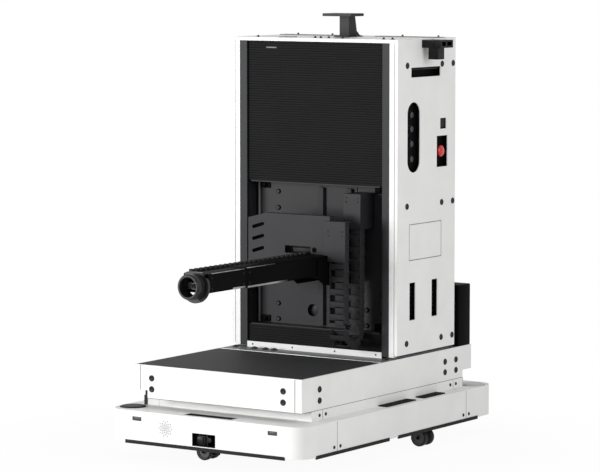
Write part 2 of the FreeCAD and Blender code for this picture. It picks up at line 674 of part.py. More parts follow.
def label_frame():
    """Shallow groove round the bare field on the operator's side."""
    def field(grow):
        return box(TOWER_HX - LABEL_GROOVE, TOWER_HX, LABEL_Y - LABEL_W / 2 - grow, LABEL_Y + LABEL_W / 2 + grow,
                   LABEL_Z - LABEL_H / 2 - grow, LABEL_Z + LABEL_H / 2 + grow)
    return field(0).cut(field(-LABEL_LINE))


def tower_back():
    return box(-FRAME_X, FRAME_X, TOWER_Y1 - SHEET, TOWER_Y1, PANEL_Z0, TOWER_TOP)


def front_post():
    """Right white front post, a folded channel."""
    y1 = TOWER_Y0 + GUIDE_D
    post = box(POST_IN, POST_OUT, TOWER_Y0, y1, STAND_Z, OPEN_TOP)
    return post.cut(box(POST_IN + SHEET, POST_OUT - SHEET, TOWER_Y0 + SHEET, y1, STAND_Z, OPEN_TOP))


def front_sill():
    return box(-GUIDE_IN + GAP, GUIDE_IN - GAP, TOWER_Y0, TOWER_Y0 + SHEET, DECK_TOP, SILL_TOP)


def curtain_guide():
    """Right dark guide channel whose slot holds the bellows' edge."""
    y0, y1 = TOWER_Y0 + 1, TOWER_Y0 + GUIDE_D
    guide = box(GUIDE_IN, POST_IN - PANEL_GAP, y0, y1, STAND_Z, OPEN_TOP)
    slot = box(GUIDE_IN, GUIDE_IN + GUIDE_SLOT, CURTAIN_Y - GAP, CURTAIN_Y + CURTAIN_T + GAP, STAND_Z, OPEN_TOP)
    return guide.cut(slot)


def bellows(z0, z1):
    """Pleated cover: a zigzag section drawn across the opening."""
    y0, y1 = CURTAIN_Y, CURTAIN_Y + CURTAIN_T
    half = GUIDE_IN + GUIDE_SLOT - GAP
    count = max(1, round((z1 - z0) / PLEAT_PITCH))
    pitch = (z1 - z0) / count
    points = [V(-half, y1, z0), V(-half, y0 + PLEAT_DEPTH, z0)]
    for i in range(count):
        low = z0 + i * pitch
        points.append(V(-half, y0, low + pitch / 2))
        points.append(V(-half, y0 + PLEAT_DEPTH, low + pitch))
    points.append(V(-half, y1, z1))
    return prism(points, V(2 * half, 0, 0))


def tower_frame():
    """Corner and rail uprights joined by rings at the foot and the head, with inner walls."""
    z0, z1 = STAND_Z, OPEN_TOP
    front = TOWER_Y0 + GUIDE_D + PANEL_GAP
    rear = TOWER_Y1 - SHEET - PANEL_GAP
    wall = WALL_X + WALL_T
    parts = []
    for side in (-1, 1):
        xs = sorted((side * wall, side * (FRAME_X - TRAY_ROOM)))
        parts.append(box(xs[0], xs[1], RAIL_Y - RAIL_SEAT, RAIL_Y + RAIL_W + RAIL_SEAT, z0, z1))
        xs = sorted((side * wall, side * FRAME_X))
        for y0, y1 in ((front, front + FRAME_T), (rear - FRAME_T, rear)):
            parts.append(box(xs[0], xs[1], y0, y1, z0, z1))
        parts.append(box(xs[0], xs[1], front, rear, z0, z0 + FRAME_T))
        parts.append(box(xs[0], xs[1], front, rear, z1 - FRAME_T, z1))
        xs = sorted((side * WALL_X, side * wall))
        parts.append(box(xs[0], xs[1], front, WALL_REAR, z0, z1))
    for low in (z0, z1 - FRAME_T):
        parts.append(box(-FRAME_X, FRAME_X, rear - FRAME_T, rear, low, low + FRAME_T))
        parts.append(box(-FRAME_X, FRAME_X, AXIS_Y + AXIS_D, AXIS_Y + AXIS_D + FRAME_T, low, low + FRAME_T))
    return fuse(parts)


def tower_top():
    """Folded cap with a front lip over the opening and side lips inside the panels."""
    plate = box(-FRAME_X, FRAME_X, TOWER_Y0 + SHEET + PANEL_GAP, TOWER_Y1 - SHEET - PANEL_GAP, TOWER_TOP - SHEET,
                TOWER_TOP)
    half = TOWER_HX - PANEL_FRONT - PANEL_GAP
    lip = box(-half, half, TOWER_Y0, TOWER_Y0 + SHEET + PANEL_GAP, OPEN_TOP, TOWER_TOP)
    stand = [box(s * (FRAME_X - FRAME_T / 2) - FRAME_T / 2, s * (FRAME_X - FRAME_T / 2) + FRAME_T / 2,
                 TOWER_Y0 + FRAME_T, TOWER_Y1 - FRAME_T, OPEN_TOP, TOWER_TOP - SHEET) for s in (-1, 1)]
    return fuse([plate, lip] + stand)


# ---------------------------------------------------------------- lift
def lift_rail():
    """Right linear rail on the inner wall."""
    return box(WALL_X - RAIL_D, WALL_X, RAIL_Y, RAIL_Y + RAIL_W, STAND_Z, OPEN_TOP)


def lift_runner(z):
    """Runner block round the right rail, bolted to the back of the carriage plate."""
    x0 = WALL_X - RAIL_D - RUNNER_WALL
    x1 = WALL_X - CHEEK_T
    block = box(x0, x1, PLATE_Y + PLATE_T, RAIL_Y + RAIL_W + RUNNER_WALL, z - RUNNER_L / 2, z + RUNNER_L / 2)
    groove = box(WALL_X - RAIL_D - GAP, x1, RAIL_Y - GAP, RAIL_Y + RAIL_W + GAP, z - RUNNER_L / 2, z + RUNNER_L / 2)
    return block.cut(groove)


def carriage_plate():
    """Back plate and the two shelves that carry the ends of the bellows."""
    plate = box(-PLATE_HALF, PLATE_HALF, PLATE_Y, PLATE_Y + PLATE_T, LOWER_EDGE, UPPER_EDGE)
    x, z, r = PLATE_HOLE
    plate = plate.cut(cyl(r, V(x, PLATE_Y, z), REAR, PLATE_T))
    shelves = [box(-PLATE_HALF, PLATE_HALF, CURTAIN_Y, PLATE_Y, z0, z0 + SHELF_T)
               for z0 in (LOWER_EDGE, UPPER_EDGE - SHELF_T)]
    return [plate] + shelves


def plate_bolts():
    spots = [(-PLATE_BOLT_X, z) for z in PLATE_BOLT_Z]
    spots += [(PLATE_BOLT_X, z) for z in PLATE_BOLT_Z if z < BRACKET_HIGH_Z[0] - BOLT_R]
    return [hex_head(BOLT_R, V(x, PLATE_Y - BOLT_H, z), REAR, BOLT_H) for x, z in spots]


def slider():
    """Tongue on the carriage's back that runs in the lift axis."""
    half, depth = AXIS_SLOT
    y0 = PLATE_Y + PLATE_T
    mid = (LOWER_EDGE + UPPER_EDGE) / 2
    pad = box(-AXIS_HALF, AXIS_HALF, y0, AXIS_Y - GAP, mid - RUNNER_L, mid + RUNNER_L)
    tongue = box(-half + GAP, half - GAP, AXIS_Y - GAP, AXIS_Y + depth - GAP, mid - RUNNER_L, mid + RUNNER_L)
    return fuse([pad, tongue])


def lift_drive():
    """Closed belt axis with its front slot, and the motor at its foot."""
    z0, z1 = STAND_Z, OPEN_TOP
    half, depth = AXIS_SLOT
    axis = box(-AXIS_HALF, AXIS_HALF, AXIS_Y, AXIS_Y + AXIS_D, z0, z1)
    axis = axis.cut(box(-half, half, AXIS_Y, AXIS_Y + depth, z0, z1))
    motor = cyl(MOTOR_R, V(AXIS_HALF, AXIS_Y + AXIS_D / 2, MOTOR_Z), RIGHT, MOTOR_L)
    return fuse([axis, motor])


# ---------------------------------------------------------------- arm unit
def stage_rails():
    z0, z1 = STAGE_RAIL_Z
    y0 = PLATE_Y - STAGE_RAIL_D
    return [box(x - STAGE_RAIL_W / 2, x + STAGE_RAIL_W / 2, y0, PLATE_Y, z0, z1) for x in STAGE_RAIL_X]


def stage_runner(x, z):
    y0, y1 = PLATE_Y - GAP - STAGE_RUNNER_D, PLATE_Y - GAP * 2
    half = STAGE_RAIL_W / 2 + STAGE_RUNNER_WALL
    block = box(x - half, x + half, y0, y1, z - STAGE_RUNNER_L / 2, z + STAGE_RUNNER_L / 2)
    groove_half = STAGE_RAIL_W / 2 + GAP
    groove = box(x - groove_half, x + groove_half, PLATE_Y - STAGE_RAIL_D - GAP, y1, z - STAGE_RUNNER_L / 2,
                 z + STAGE_RUNNER_L / 2)
    return block.cut(groove)


def arm_housing():
    """Stage plate with its runners and the cheeks that carry the cover."""
    (x0, x1), (z0, z1) = COVER_X, COVER_Z
    top = z1 - COVER_CLIP[1] - COVER_T
    y0, y1 = COVER_Y + COVER_T, PLATE_Y - GAP - STAGE_RUNNER_D
    right = x1 - CHEEK_INSET
    plate = box(x0 + CHEEK_INSET, right, y1 - STAGE_T, y1, z0, top)
    left_cheek = box(x0 + CHEEK_INSET, x0 + CHEEK_INSET + CHEEK_T, y0, y1, z0, top)
    right_cheek = box(right - CHEEK_T, right, y0, y1, ARM_Z[1] + CHEEK_INSET, top)
    runners = [stage_runner(x, z) for x in STAGE_RAIL_X
               for z in (z0 + STAGE_RUNNER_L / 2, top - STAGE_RUNNER_L / 2)]
    return fuse([plate, left_cheek, right_cheek] + runners)


def arm_cover():
    """Front sheet with a clipped corner, inclined slots, window and beam cut-out."""
    (x0, x1), (z0, z1) = COVER_X, COVER_Z
    clip_w, clip_h = COVER_CLIP
    y = COVER_Y
    sheet = prism([V(x0, y, z0), V(x1, y, z0), V(x1, y, z1), V(x0 + clip_w, y, z1), V(x0, y, z1 - clip_h)],
                  V(0, COVER_T, 0))
    flange = box(x0 + clip_w, x1, y, y + COVER_FLANGE, z1 - COVER_T, z1)
    reach = COVER_SLOT_L / 2 - COVER_SLOT_R
    cuts = []
    for z in COVER_SLOTS:
        slot = [box(COVER_SLOT_X - reach, COVER_SLOT_X + reach, y, y + COVER_T, z - COVER_SLOT_R, z + COVER_SLOT_R)]
        slot += [cyl(COVER_SLOT_R, V(COVER_SLOT_X + s * reach, y, z), REAR, COVER_T) for s in (-1, 1)]
        cut = fuse(slot)
        cut.rotate(V(COVER_SLOT_X, y, z), V(0, -1, 0), COVER_SLOT_TILT)
        cuts.append(cut)
    wx0, wx1, height = COVER_WINDOW
    cuts.append(box(wx0, wx1, y, y + COVER_T, ARM_Z[1], ARM_Z[1] + height))
    hx, hz, hr = COVER_HOLE
    cuts.append(cyl(hr, V(hx, y, hz), REAR, COVER_T))
    root = ARM_HALF + ROOT_T + GAP
    cuts.append(box(ARM_X - root, x1, y, y + COVER_T, z0, ARM_Z[1] + GAP))
    return fuse([sheet, flange]).cut(cuts)


def arm_tube(y0, y1, step):
    z0, z1 = ARM_Z[0] + step, ARM_Z[1] - step
    half = ARM_HALF - step
    tube = box(ARM_X - half, ARM_X + half, y0, y1, z0, z1)
    long_edges = [e for e in tube.Edges if abs(e.tangentAt(e.FirstParameter).y) > 0.9]
    tube = tube.makeChamfer(ARM_CHAMFER, long_edges)
    return tube.cut(box(ARM_X - half + ARM_WALL, ARM_X + half - ARM_WALL, y0, y1, z0 + ARM_WALL, z1 - ARM_WALL))


def arm_beam():
    """Hollow cantilever beam in two lengths, the front one slightly slimmer."""
    y1 = PLATE_Y - GAP - STAGE_RUNNER_D - STAGE_T
    return [arm_tube(ARM_JOINT_Y, y1, 0), arm_tube(ARM_END_Y, ARM_JOINT_Y, ARM_STEP)]


def root_bracket():
    """Cheeks that clasp the beam where it leaves the cover, joined by a floor."""
    y1 = PLATE_Y - GAP - STAGE_RUNNER_D - STAGE_T
    z0, z1 = ROOT_Z
    cheeks = []
    for side in (-1, 1):
        x = ARM_X + side * ARM_HALF
        outline = [V(x, ROOT_FRONT, z1), V(x, ROOT_FRONT, ARM_Z[0] - ROOT_T), V(x, ROOT_FRONT + ROOT_STEP, z0),
                   V(x, y1, z0), V(x, y1, z1)]
        cheeks.append(prism(outline, V(side * ROOT_T, 0, 0)))
    floor = box(ARM_X - ARM_HALF, ARM_X + ARM_HALF, ROOT_FRONT, y1, ARM_Z[0] - ROOT_T, ARM_Z[0])
    return fuse(cheeks + [floor])


def cable_carrier():
    """Row of raised carrier links along the beam's left top edge."""
    z0 = ARM_Z[1]
    x0, x1 = CARRIER_X - CARRIER_W / 2, CARRIER_X + CARRIER_W / 2
    y0, y1 = CARRIER_Y
    low = z0 - ARM_STEP
    base = fuse([box(x0, x1, y0, y1, z0, z0 + CARRIER_BASE), box(x0, x1, y0, ARM_JOINT_Y, low, z0)])
    count = int((y1 - y0) / CARRIER_PITCH)
    links = []
    for i in range(count):
        y = y0 + (i + 0.25) * CARRIER_PITCH
        links.append(box(x0, x1, y, y + CARRIER_PITCH / 2, z0, z0 + CARRIER_H))
    return base.fuse(links).removeSplitter()


def tip_flange():
    y0 = ARM_END_Y - FLANGE_T
    disc = cyl(FLANGE_R, V(ARM_X, y0, NOSE_Z), REAR, FLANGE_T)
    flat = box(ARM_X - FLANGE_R, ARM_X + FLANGE_R, y0, ARM_END_Y, NOSE_Z + FLANGE_FLAT, NOSE_Z + FLANGE_R)
    return disc.cut([flat, cyl(NOSE_BORE, V(ARM_X, y0, NOSE_Z), REAR, FLANGE_T)])


def nose_ring():
    nose = ring(NOSE_R, NOSE_BORE, V(ARM_X, NOSE_TIP, NOSE_Z), REAR, NOSE_L)
    rim = [e for e in nose.Edges if e.Curve.TypeId == "Part::GeomCircle"
           and abs(e.Curve.Radius - NOSE_R) < GAP and e.CenterOfMass.y < NOSE_TIP + GAP]
    return nose.makeChamfer(NOSE_CHAMFER, rim)


def tip_sensor():
    """Centring camera on a cross-bar behind the open nose."""
    y0, y1 = ARM_END_Y, ARM_END_Y + TIP_BAR_T
    body = box(ARM_X - TIP_CAM_W / 2, ARM_X + TIP_CAM_W / 2, y0 - FLANGE_T, y0, NOSE_Z - TIP_CAM_W / 2,
               NOSE_Z + TIP_CAM_W / 2)
    half = ARM_HALF - ARM_STEP - ARM_WALL
    bar = box(ARM_X - half, ARM_X + half, y0, y1, NOSE_Z - TIP_CAM_W / 2, NOSE_Z + TIP_CAM_W / 2)
    return fuse([body, bar])


def tip_screws():
    heads = []
    y0 = ARM_END_Y - FLANGE_T - SCREW_H
    for k in range(6):
        a = math.radians(60 * k)
        at = V(ARM_X + TIP_SCREW_PCD / 2 * math.cos(a), y0, NOSE_Z + TIP_SCREW_PCD / 2 * math.sin(a))
        if at.z < NOSE_Z + FLANGE_FLAT - TIP_SCREW_R:
            heads.append(hex_head(TIP_SCREW_R, at, REAR, SCREW_H))
    return heads


# ---------------------------------------------------------------- energy chain
def chain_link(length, floor_shift):
    """One link: two side plates closed by a crossbar on each face of the chain."""
    x0, x1 = CHAIN_X
    t, h = CHAIN_T / 2, length / 2
    bar = BRIDGE_L / 2
    parts = [box(x0, x0 + CHAIN_WALL, -t, t, -h, h), box(x1 - CHAIN_WALL, x1, -t, t, -h, h)]
    parts.append(box(x0, x1, -t, -t + BRIDGE_T, floor_shift - bar, floor_shift + bar))
    parts.append(box(x0, x1, t - BRIDGE_T, t, floor_shift - bar, floor_shift + bar))
    return fuse(parts)


def chain_leg(y, top):
    """Straight run of links from the bend's end up to a bracket."""
    count = int((top - CHAIN_LEG_Z) / CHAIN_PITCH)
    links = []
    for i in range(count):
        link = chain_link(CHAIN_PITCH, 0)
        link.translate(V(0, y, top - (i + 0.5) * CHAIN_PITCH))
        links.append(link)
    rest = top - count * CHAIN_PITCH - CHAIN_LEG_Z
    if rest > BRIDGE_L:
        link = chain_link(rest, 0)
        link.translate(V(0, y, CHAIN_LEG_Z + rest / 2))
        links.append(link)
    return group(links)


def chain_bend():
    """Half turn of links hanging between the two legs."""
    x0, x1 = CHAIN_X
    t = CHAIN_T / 2
    centre = V(x0, CHAIN_MID_FRONT + CHAIN_BEND, CHAIN_LEG_Z - GAP)
    outer, inner = CHAIN_BEND + t, CHAIN_BEND - t
    def sector(r_out, r_in, a, b):
        tube = ring(r_out, r_in, a, RIGHT, b)
        return tube.cut(box(x0, x1, centre.y - outer, centre.y + outer, centre.z, centre.z + outer))
    plates = [sector(outer, inner, centre, CHAIN_WALL),
              sector(outer, inner, V(x1 - CHAIN_WALL, centre.y, centre.z), CHAIN_WALL)]
    count = round(math.pi * CHAIN_BEND / CHAIN_PITCH)
    bars = []
    for i in range(count):
        for y in (-outer, -inner - BRIDGE_T):
            bar = box(x0, x1, y + BRIDGE_SINK, y + BRIDGE_T, -BRIDGE_L / 2, BRIDGE_L / 2)
            bar.rotate(V(0, 0, 0), RIGHT, math.degrees(math.pi * (i + 0.5) / count))
            bar.translate(V(0, centre.y, centre.z))
            bars.append(bar)
    return fuse(plates + bars)


def low_chain_bracket():
    """Plate in front of the chain's front end, stood off the arm's cover."""
    x0, x1, z0, z1 = BRACKET_LOW
    y = CHAIN_FRONT - GAP
    face = box(x0, x1, y - BRACKET_T, y, z0, z1)
    spacer = box(x0, COVER_X[1], y, COVER_Y, ARM_Z[1] + CHEEK_INSET, z1)
    roof = box(x0, x1, y - BRACKET_T, CHAIN_FRONT + CHAIN_T, z1 - BRACKET_T, z1)
    roof = roof.cut(box(x0, COVER_X[1] + GAP / 2, COVER_Y, CHAIN_FRONT + CHAIN_T, z1 - BRACKET_T, z1))
    beam = box(x0, ARM_X + ARM_HALF + ROOT_T + GAP, y - BRACKET_T, y, z0, ARM_Z[1] + GAP)
    return fuse([face, spacer, roof]).cut(beam)


def low_bracket_screws():
    x0, x1, z0, z1 = BRACKET_LOW
    y = CHAIN_FRONT - GAP - BRACKET_T - SCREW_H
    return [hex_head(TIP_SCREW_R, V(x, y, z), REAR, SCREW_H) for x in (x0 + 16, x1 - 14) for z in (z1 - 34, z1 - 49)]


def high_chain_bracket():
    """Box on the carriage that holds the chain's rear end, open below."""
    z0, z1 = BRACKET_HIGH_Z
    x0, x1 = CHAIN_X[0] - GAP - SHEET, CHAIN_X[1] + GAP + SHEET
    y0 = CHAIN_MID_REAR - CHAIN_T / 2 - GAP - BRACKET_T
    outer = box(x0, x1, y0, PLATE_Y, z0, z1)
    inner = box(CHAIN_X[0] - GAP, CHAIN_X[1] + GAP, y0 + BRACKET_T, CHAIN_MID_REAR + CHAIN_T / 2 + GAP, z0,
                z1 - BRACKET_T)
    return outer.cut(inner)


def high_bracket_screws():
    z0, z1 = BRACKET_HIGH_Z
    y = CHAIN_MID_REAR - CHAIN_T / 2 - GAP - BRACKET_T - SCREW_H
    spots = [(x, z) for x in (CHAIN_X[0] + 8, CHAIN_X[1] - 8) for z in (z0 + 20, z1 - 14)]
    return [hex_head(TIP_SCREW_R, V(x, y, z), REAR, SCREW_H) for x, z in spots]


# ---------------------------------------------------------------- fittings
def mast():
    """Bent bracket on the tower's top that offers a bolt-on plate."""
    y0, y1 = MAST_Y
    z0 = TOWER_TOP
    low = MAST_TOP - MAST_PLATE_T
    stalk = prism([V(-MAST_HALF, y0, z0), V(-MAST_HALF, y1 + MAST_TAPER + MAST_FOOT, z0),
                   V(-MAST_HALF, y1 + MAST_TAPER + MAST_FOOT, z0 + MAST_FOOT_H / 2),
                   V(-MAST_HALF, y1 + MAST_TAPER, z0 + MAST_FOOT_H), V(-MAST_HALF, y1, low),
                   V(-MAST_HALF, y0, low)], V(2 * MAST_HALF, 0, 0))
    half, p0, p1 = MAST_PLATE
    plate = box(-half, half, p0, p1, low, MAST_TOP)
    holes = []
    yc = p0 + MAST_HOLE_EDGE + MAST_HOLE_DY / 2
    for sx in (-1, 1):
        for sy in (-1, 1):
            at = V(sx * MAST_HOLE_DX / 2, yc + sy * MAST_HOLE_DY / 2, low)
            holes.append(cyl(MAST_HOLE_R, at, UP, MAST_PLATE_T))
    return fuse([stalk, plate]).cut(holes)


def side_sensor():
    """Overhanging sensor head with a lug below it, on the right panel."""
    y0, y1 = SENSOR_Y
    head = box(TOWER_HX, TOWER_HX + SENSOR_REACH, y0, y1, SENSOR_Z[0], SENSOR_Z[1])
    lug = box(LUG_X[0], LUG_X[1], y0, y0 + LUG_L, LUG_Z, SENSOR_Z[0])
    return fuse([head, lug])


def control_panel():
    """Sunk obround panel with a hole for each push button."""
    x1 = TOWER_HX - SHEET
    rim = POCKET_RIM
    outer = obround_x(CONTROL_Y, CONTROL_Z, CONTROL_W + 2 * rim, CONTROL_H + 2 * rim, x1 - POCKET_T, x1)
    outer = outer.cut(obround_x(CONTROL_Y, CONTROL_Z, CONTROL_W - 4, CONTROL_H - 4, x1 - POCKET_T, x1))
    cup = obround_x(CONTROL_Y, CONTROL_Z, CONTROL_W, CONTROL_H, x1 - CONTROL_D, x1)
    cup = cup.cut(obround_x(CONTROL_Y, CONTROL_Z, CONTROL_W - 4, CONTROL_H - 4, x1 - CONTROL_D + POCKET_T, x1))
    panel = fuse([outer, cup])
    holes = [cyl(BUTTON_R - 2, V(x1 - CONTROL_D, CONTROL_Y, z), RIGHT, POCKET_T) for z in BUTTON_Z]
    return panel.cut(holes)


def push_button(z):
    face = TOWER_HX - SHEET - CONTROL_D + POCKET_T
    head = cyl(BUTTON_R, V(face + BUTTON_TRAVEL + GAP, CONTROL_Y, z), RIGHT, 5)
    stem = cyl(BUTTON_R - 2 - RUN_FIT, V(face - POCKET_T - 4, CONTROL_Y, z), RIGHT, POCKET_T + 4 + BUTTON_TRAVEL + GAP)
    return fuse([head, stem])


def estop_panel():
    """Sunk tray that the emergency stop stands in."""
    tray = pocket(ESTOP_Y, ESTOP_Z, ESTOP_W, ESTOP_H, ESTOP_D)
    return tray.cut(cyl(ESTOP_STEM_R + RUN_FIT, V(TOWER_HX - SHEET - ESTOP_D, ESTOP_Y, ESTOP_Z), RIGHT, POCKET_T))


def estop_button():
    back = TOWER_HX - SHEET - ESTOP_D
    x0 = back + POCKET_T + ESTOP_TRAVEL + GAP
    head = cyl(ESTOP_R, V(x0, ESTOP_Y, ESTOP_Z), RIGHT, ESTOP_HEAD_T)
    rim = [e for e in head.Edges if e.Curve.TypeId == "Part::GeomCircle" and e.CenterOfMass.x > x0 + GAP]
    head = head.makeChamfer(ESTOP_CHAMFER, rim)
    stem = cyl(ESTOP_STEM_R, V(back - ESTOP_BACK, ESTOP_Y, ESTOP_Z), RIGHT, x0 - back + ESTOP_BACK)
    return fuse([head, stem])


def pocket(y, z, w, h, depth):
    """Open-fronted black tray behind a rectangular opening of the right panel."""
    x1 = TOWER_HX - SHEET
    rim = box(x1 - POCKET_T, x1, y - w / 2 - POCKET_RIM, y + w / 2 + POCKET_RIM, z - h / 2 - POCKET_RIM,
              z + h / 2 + POCKET_RIM)
    cup = box(x1 - depth, x1, y - w / 2, y + w / 2, z - h / 2, z + h / 2)
    t = POCKET_T
    hollow = box(x1 - depth + t, x1, y - w / 2 + t, y + w / 2 - t, z - h / 2 + t, z + h / 2 - t)
    return fuse([rim, cup]).cut(hollow)


def round_heads(radius, height):
    """Screws of the cladding panels, on both sides."""
    heads = [hex_head(radius, V(TOWER_HX, y, z), RIGHT, height) for y in TOWER_SCREW_Y for z in TOWER_SCREW_Z]
    return heads + [mirror_x(h) for h in heads]


def top_screws():
    heads = []
    for x in TOP_SCREW_X:
        for y in TOP_SCREW_Y:
            heads.append(hex_head(SCREW_R, V(x, y, TOWER_TOP), UP, BOLT_H))
    return heads


def rear_box():
    """Black electrics cabinet behind the tower, solid because nothing opens."""
    y0, y1 = REAR_BOX_Y
    body = box(-DECK_HX, DECK_HX, y0, y1, DECK_TOP, REAR_BOX_TOP)
    upright = [e for e in body.Edges if abs(e.tangentAt(e.FirstParameter).z) > 0.9]
    return body.makeFillet(4, upright)


def battery():
    (x0, x1), (y0, y1) = BATTERY_X, BATTERY_Y
    return box(x0, x1, y0, y1, PAN_Z + PAN_T, CHASSIS_TOP - TOP_PLATE_T - BATTERY_GAP)


def save_all(nodes):
    for name, shape in nodes.items():
        save(name, shape)


def chassis_nodes():
    plates = [at_caster(caster_plate(), spot) for spot in CASTER_SPOTS.values()]
    cover, skirt = end_cover(), side_skirt()
    bump, scanner, port = bumper(BUMPER_FRONT_HALF, SKIRT_T), corner_scanner(), [recess_liner(), recess_sensor()]
    windows = window_pane()
    return {
        "chassis_frame": group([chassis_frame()] + plates),
        "chassis_top_plate": top_plate(),
        "end_covers": group([cover, half_turn(cover)]),
        "side_skirts": group([skirt, half_turn(skirt)]),
        "bumpers": group([bump, half_turn(bump)] + side_bumpers()),
        "sensor_windows": group(windows + [half_turn(w) for w in windows]),
        "recess_sensors": group(port + [half_turn(p) for p in port]),
        "corner_scanners": group([scanner, half_turn(scanner)]),
        "battery_pack": battery(),
        "drive_units": group([drive_unit(), mirror_x(drive_unit())]),
        "drive_wheel_right": drive_wheel(),
        "drive_wheel_left": mirror_x(drive_wheel()),
    }


def caster_nodes():
    nodes = {}
    for name, spot in CASTER_SPOTS.items():
        nodes["caster_fork_" + name] = at_caster(caster_fork(), spot)
        nodes["caster_wheels_" + name] = at_caster(caster_wheels(), spot)
    return nodes


def deck_nodes():
    side, end, corner = deck_side_panel(), deck_end_panel(), scanner_bracket()
    return {
        "lower_band": lower_band(),
        "deck_frame": group([deck_frame(), corner, half_turn(corner)]),
        "deck_panels": group([side, half_turn(side), end, half_turn(end)]),
        "deck_mat": deck_mat(),
        "fasteners": group(deck_plugs() + trim_screws() + round_heads(BOLT_R, SCREW_H) + top_screws()),
        "rear_box": rear_box(),
    }


def tower_nodes():
    trays = [control_panel()] + [pocket(*values) for values in POCKETS]
    nodes = {
        "tower_base": tower_base(),
        "tower_frame": tower_frame(),
        "tower_panels": group([control_side_panel(), mirror_x(side_panel()), tower_back()]),
        "tower_top": tower_top(),
        "front_trim": group([front_post(), mirror_x(front_post()), front_sill()]),
        "curtain_guides": group([curtain_guide(), mirror_x(curtain_guide())]),
        "upper_bellows": bellows(UPPER_EDGE, OPEN_TOP),
        "lower_bellows": bellows(STAND_Z, LOWER_EDGE),
        "lift_rails": group([lift_rail(), mirror_x(lift_rail())]),
        "lift_drive": lift_drive(),
        "mast_bracket": mast(),
        "side_sensors": group([side_sensor(), mirror_x(side_sensor())]),
        "panel_trays": group(trays),
        "estop_panel": estop_panel(),
        "estop_button": estop_button(),
    }
    for i, z in enumerate(BUTTON_Z):
        nodes["push_button_" + str(i + 1)] = push_button(z)
    return nodes


def carriage_nodes():
    low, high = LOWER_EDGE + RUNNER_INSET, UPPER_EDGE - RUNNER_INSET
    runners = [lift_runner(z) for z in (low, high)]
    return {
        "carriage_plate": group(carriage_plate() + plate_bolts()),
        "carriage_guides": group(runners + [mirror_x(r) for r in runners] + stage_rails() + [slider()]),
        "chain_box": group([high_chain_bracket()] + high_bracket_screws()),
        "chain_rear_leg": chain_leg(CHAIN_MID_REAR, BRACKET_HIGH_Z[1] - BRACKET_T),
    }


def arm_nodes():
    return {
        "arm_housing": arm_housing(),
        "arm_cover": arm_cover(),
        "arm_root": root_bracket(),
        "arm_beam": group(arm_beam()),
        "cable_carrier": cable_carrier(),
        "tip_flange": group([tip_flange()] + tip_screws()),
        "nose_ring": nose_ring(),
        "tip_sensor": tip_sensor(),
        "chain_bracket": group([low_chain_bracket()] + low_bracket_screws()),
        "chain_front_leg": chain_leg(CHAIN_MID_FRONT, BRACKET_LOW[3] - BRACKET_T),
        "chain_bend": chain_bend(),
    }


os.makedirs("parts", exist_ok=True)
for nodes in (chassis_nodes(), caster_nodes(), deck_nodes(), tower_nodes(), carriage_nodes(), arm_nodes()):
    save_all(nodes)
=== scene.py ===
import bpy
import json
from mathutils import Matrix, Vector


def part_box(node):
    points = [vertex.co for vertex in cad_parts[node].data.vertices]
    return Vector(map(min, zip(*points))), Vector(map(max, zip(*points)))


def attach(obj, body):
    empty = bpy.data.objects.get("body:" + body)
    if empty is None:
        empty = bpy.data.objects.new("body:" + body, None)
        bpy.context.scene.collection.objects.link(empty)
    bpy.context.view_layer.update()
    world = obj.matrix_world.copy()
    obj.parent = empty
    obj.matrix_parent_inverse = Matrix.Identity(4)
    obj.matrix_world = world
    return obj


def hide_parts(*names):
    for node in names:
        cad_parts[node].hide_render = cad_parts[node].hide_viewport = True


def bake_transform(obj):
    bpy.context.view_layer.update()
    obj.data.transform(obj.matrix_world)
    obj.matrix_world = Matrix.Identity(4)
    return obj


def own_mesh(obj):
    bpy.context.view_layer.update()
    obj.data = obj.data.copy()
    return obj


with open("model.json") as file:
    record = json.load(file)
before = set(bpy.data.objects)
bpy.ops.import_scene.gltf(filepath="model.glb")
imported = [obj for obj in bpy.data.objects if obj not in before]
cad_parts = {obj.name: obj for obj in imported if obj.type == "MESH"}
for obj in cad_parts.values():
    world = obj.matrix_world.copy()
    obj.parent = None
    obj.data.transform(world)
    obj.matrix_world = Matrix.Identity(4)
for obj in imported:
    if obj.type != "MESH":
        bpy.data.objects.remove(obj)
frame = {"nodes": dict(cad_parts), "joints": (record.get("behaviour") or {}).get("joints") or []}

"""Looks of a wheeled robot with a lift tower and a cantilever arm.

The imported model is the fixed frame. Its sheet-metal nodes keep their shape and get their finishes here. The
moulded, turned and pleated pieces are modelled anew over the nodes that they stand for.
"""

import json
import logging
import math
from dataclasses import dataclass
from enum import Enum
from typing import Callable, Iterable, Optional, Sequence

import bpy
from mathutils import Vector

logging.basicConfig(level=logging.INFO, format="%(message)s")
LOG = logging.getLogger("robot")
MM = 0.001
Point = tuple[float, float, float]


# ------------------------------------------------------------------ places
def chassis_centre() -> Vector:
    """Point on the floor under the middle of the chassis, in metres."""
    low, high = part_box("end_covers")
    return Vector(((low.x + high.x) / 2, (low.y + high.y) / 2, 0.0))


CENTRE = chassis_centre()


def at(x: float, y: float, z: float) -> Vector:
    """Turn millimetres from the chassis centre into a point of the shared frame.

    Args:
        x: distance to the robot's right.
        y: distance to its rear.
        z: height above the floor.

    Returns:
        The point in metres.
    """
    return CENTRE + Vector((x, y, z)) * MM


class Facing(Enum):
    """Direction in which a head, lens or plate looks."""

    FRONT = (0.0, -1.0, 0.0)
    REAR = (0.0, 1.0, 0.0)
    RIGHT = (1.0, 0.0, 0.0)
    LEFT = (-1.0, 0.0, 0.0)
    UP = (0.0, 0.0, 1.0)
    DOWN = (0.0, 0.0, -1.0)

    def vector(self) -> Vector:
        """Unit vector of this direction."""
        return Vector(self.value)


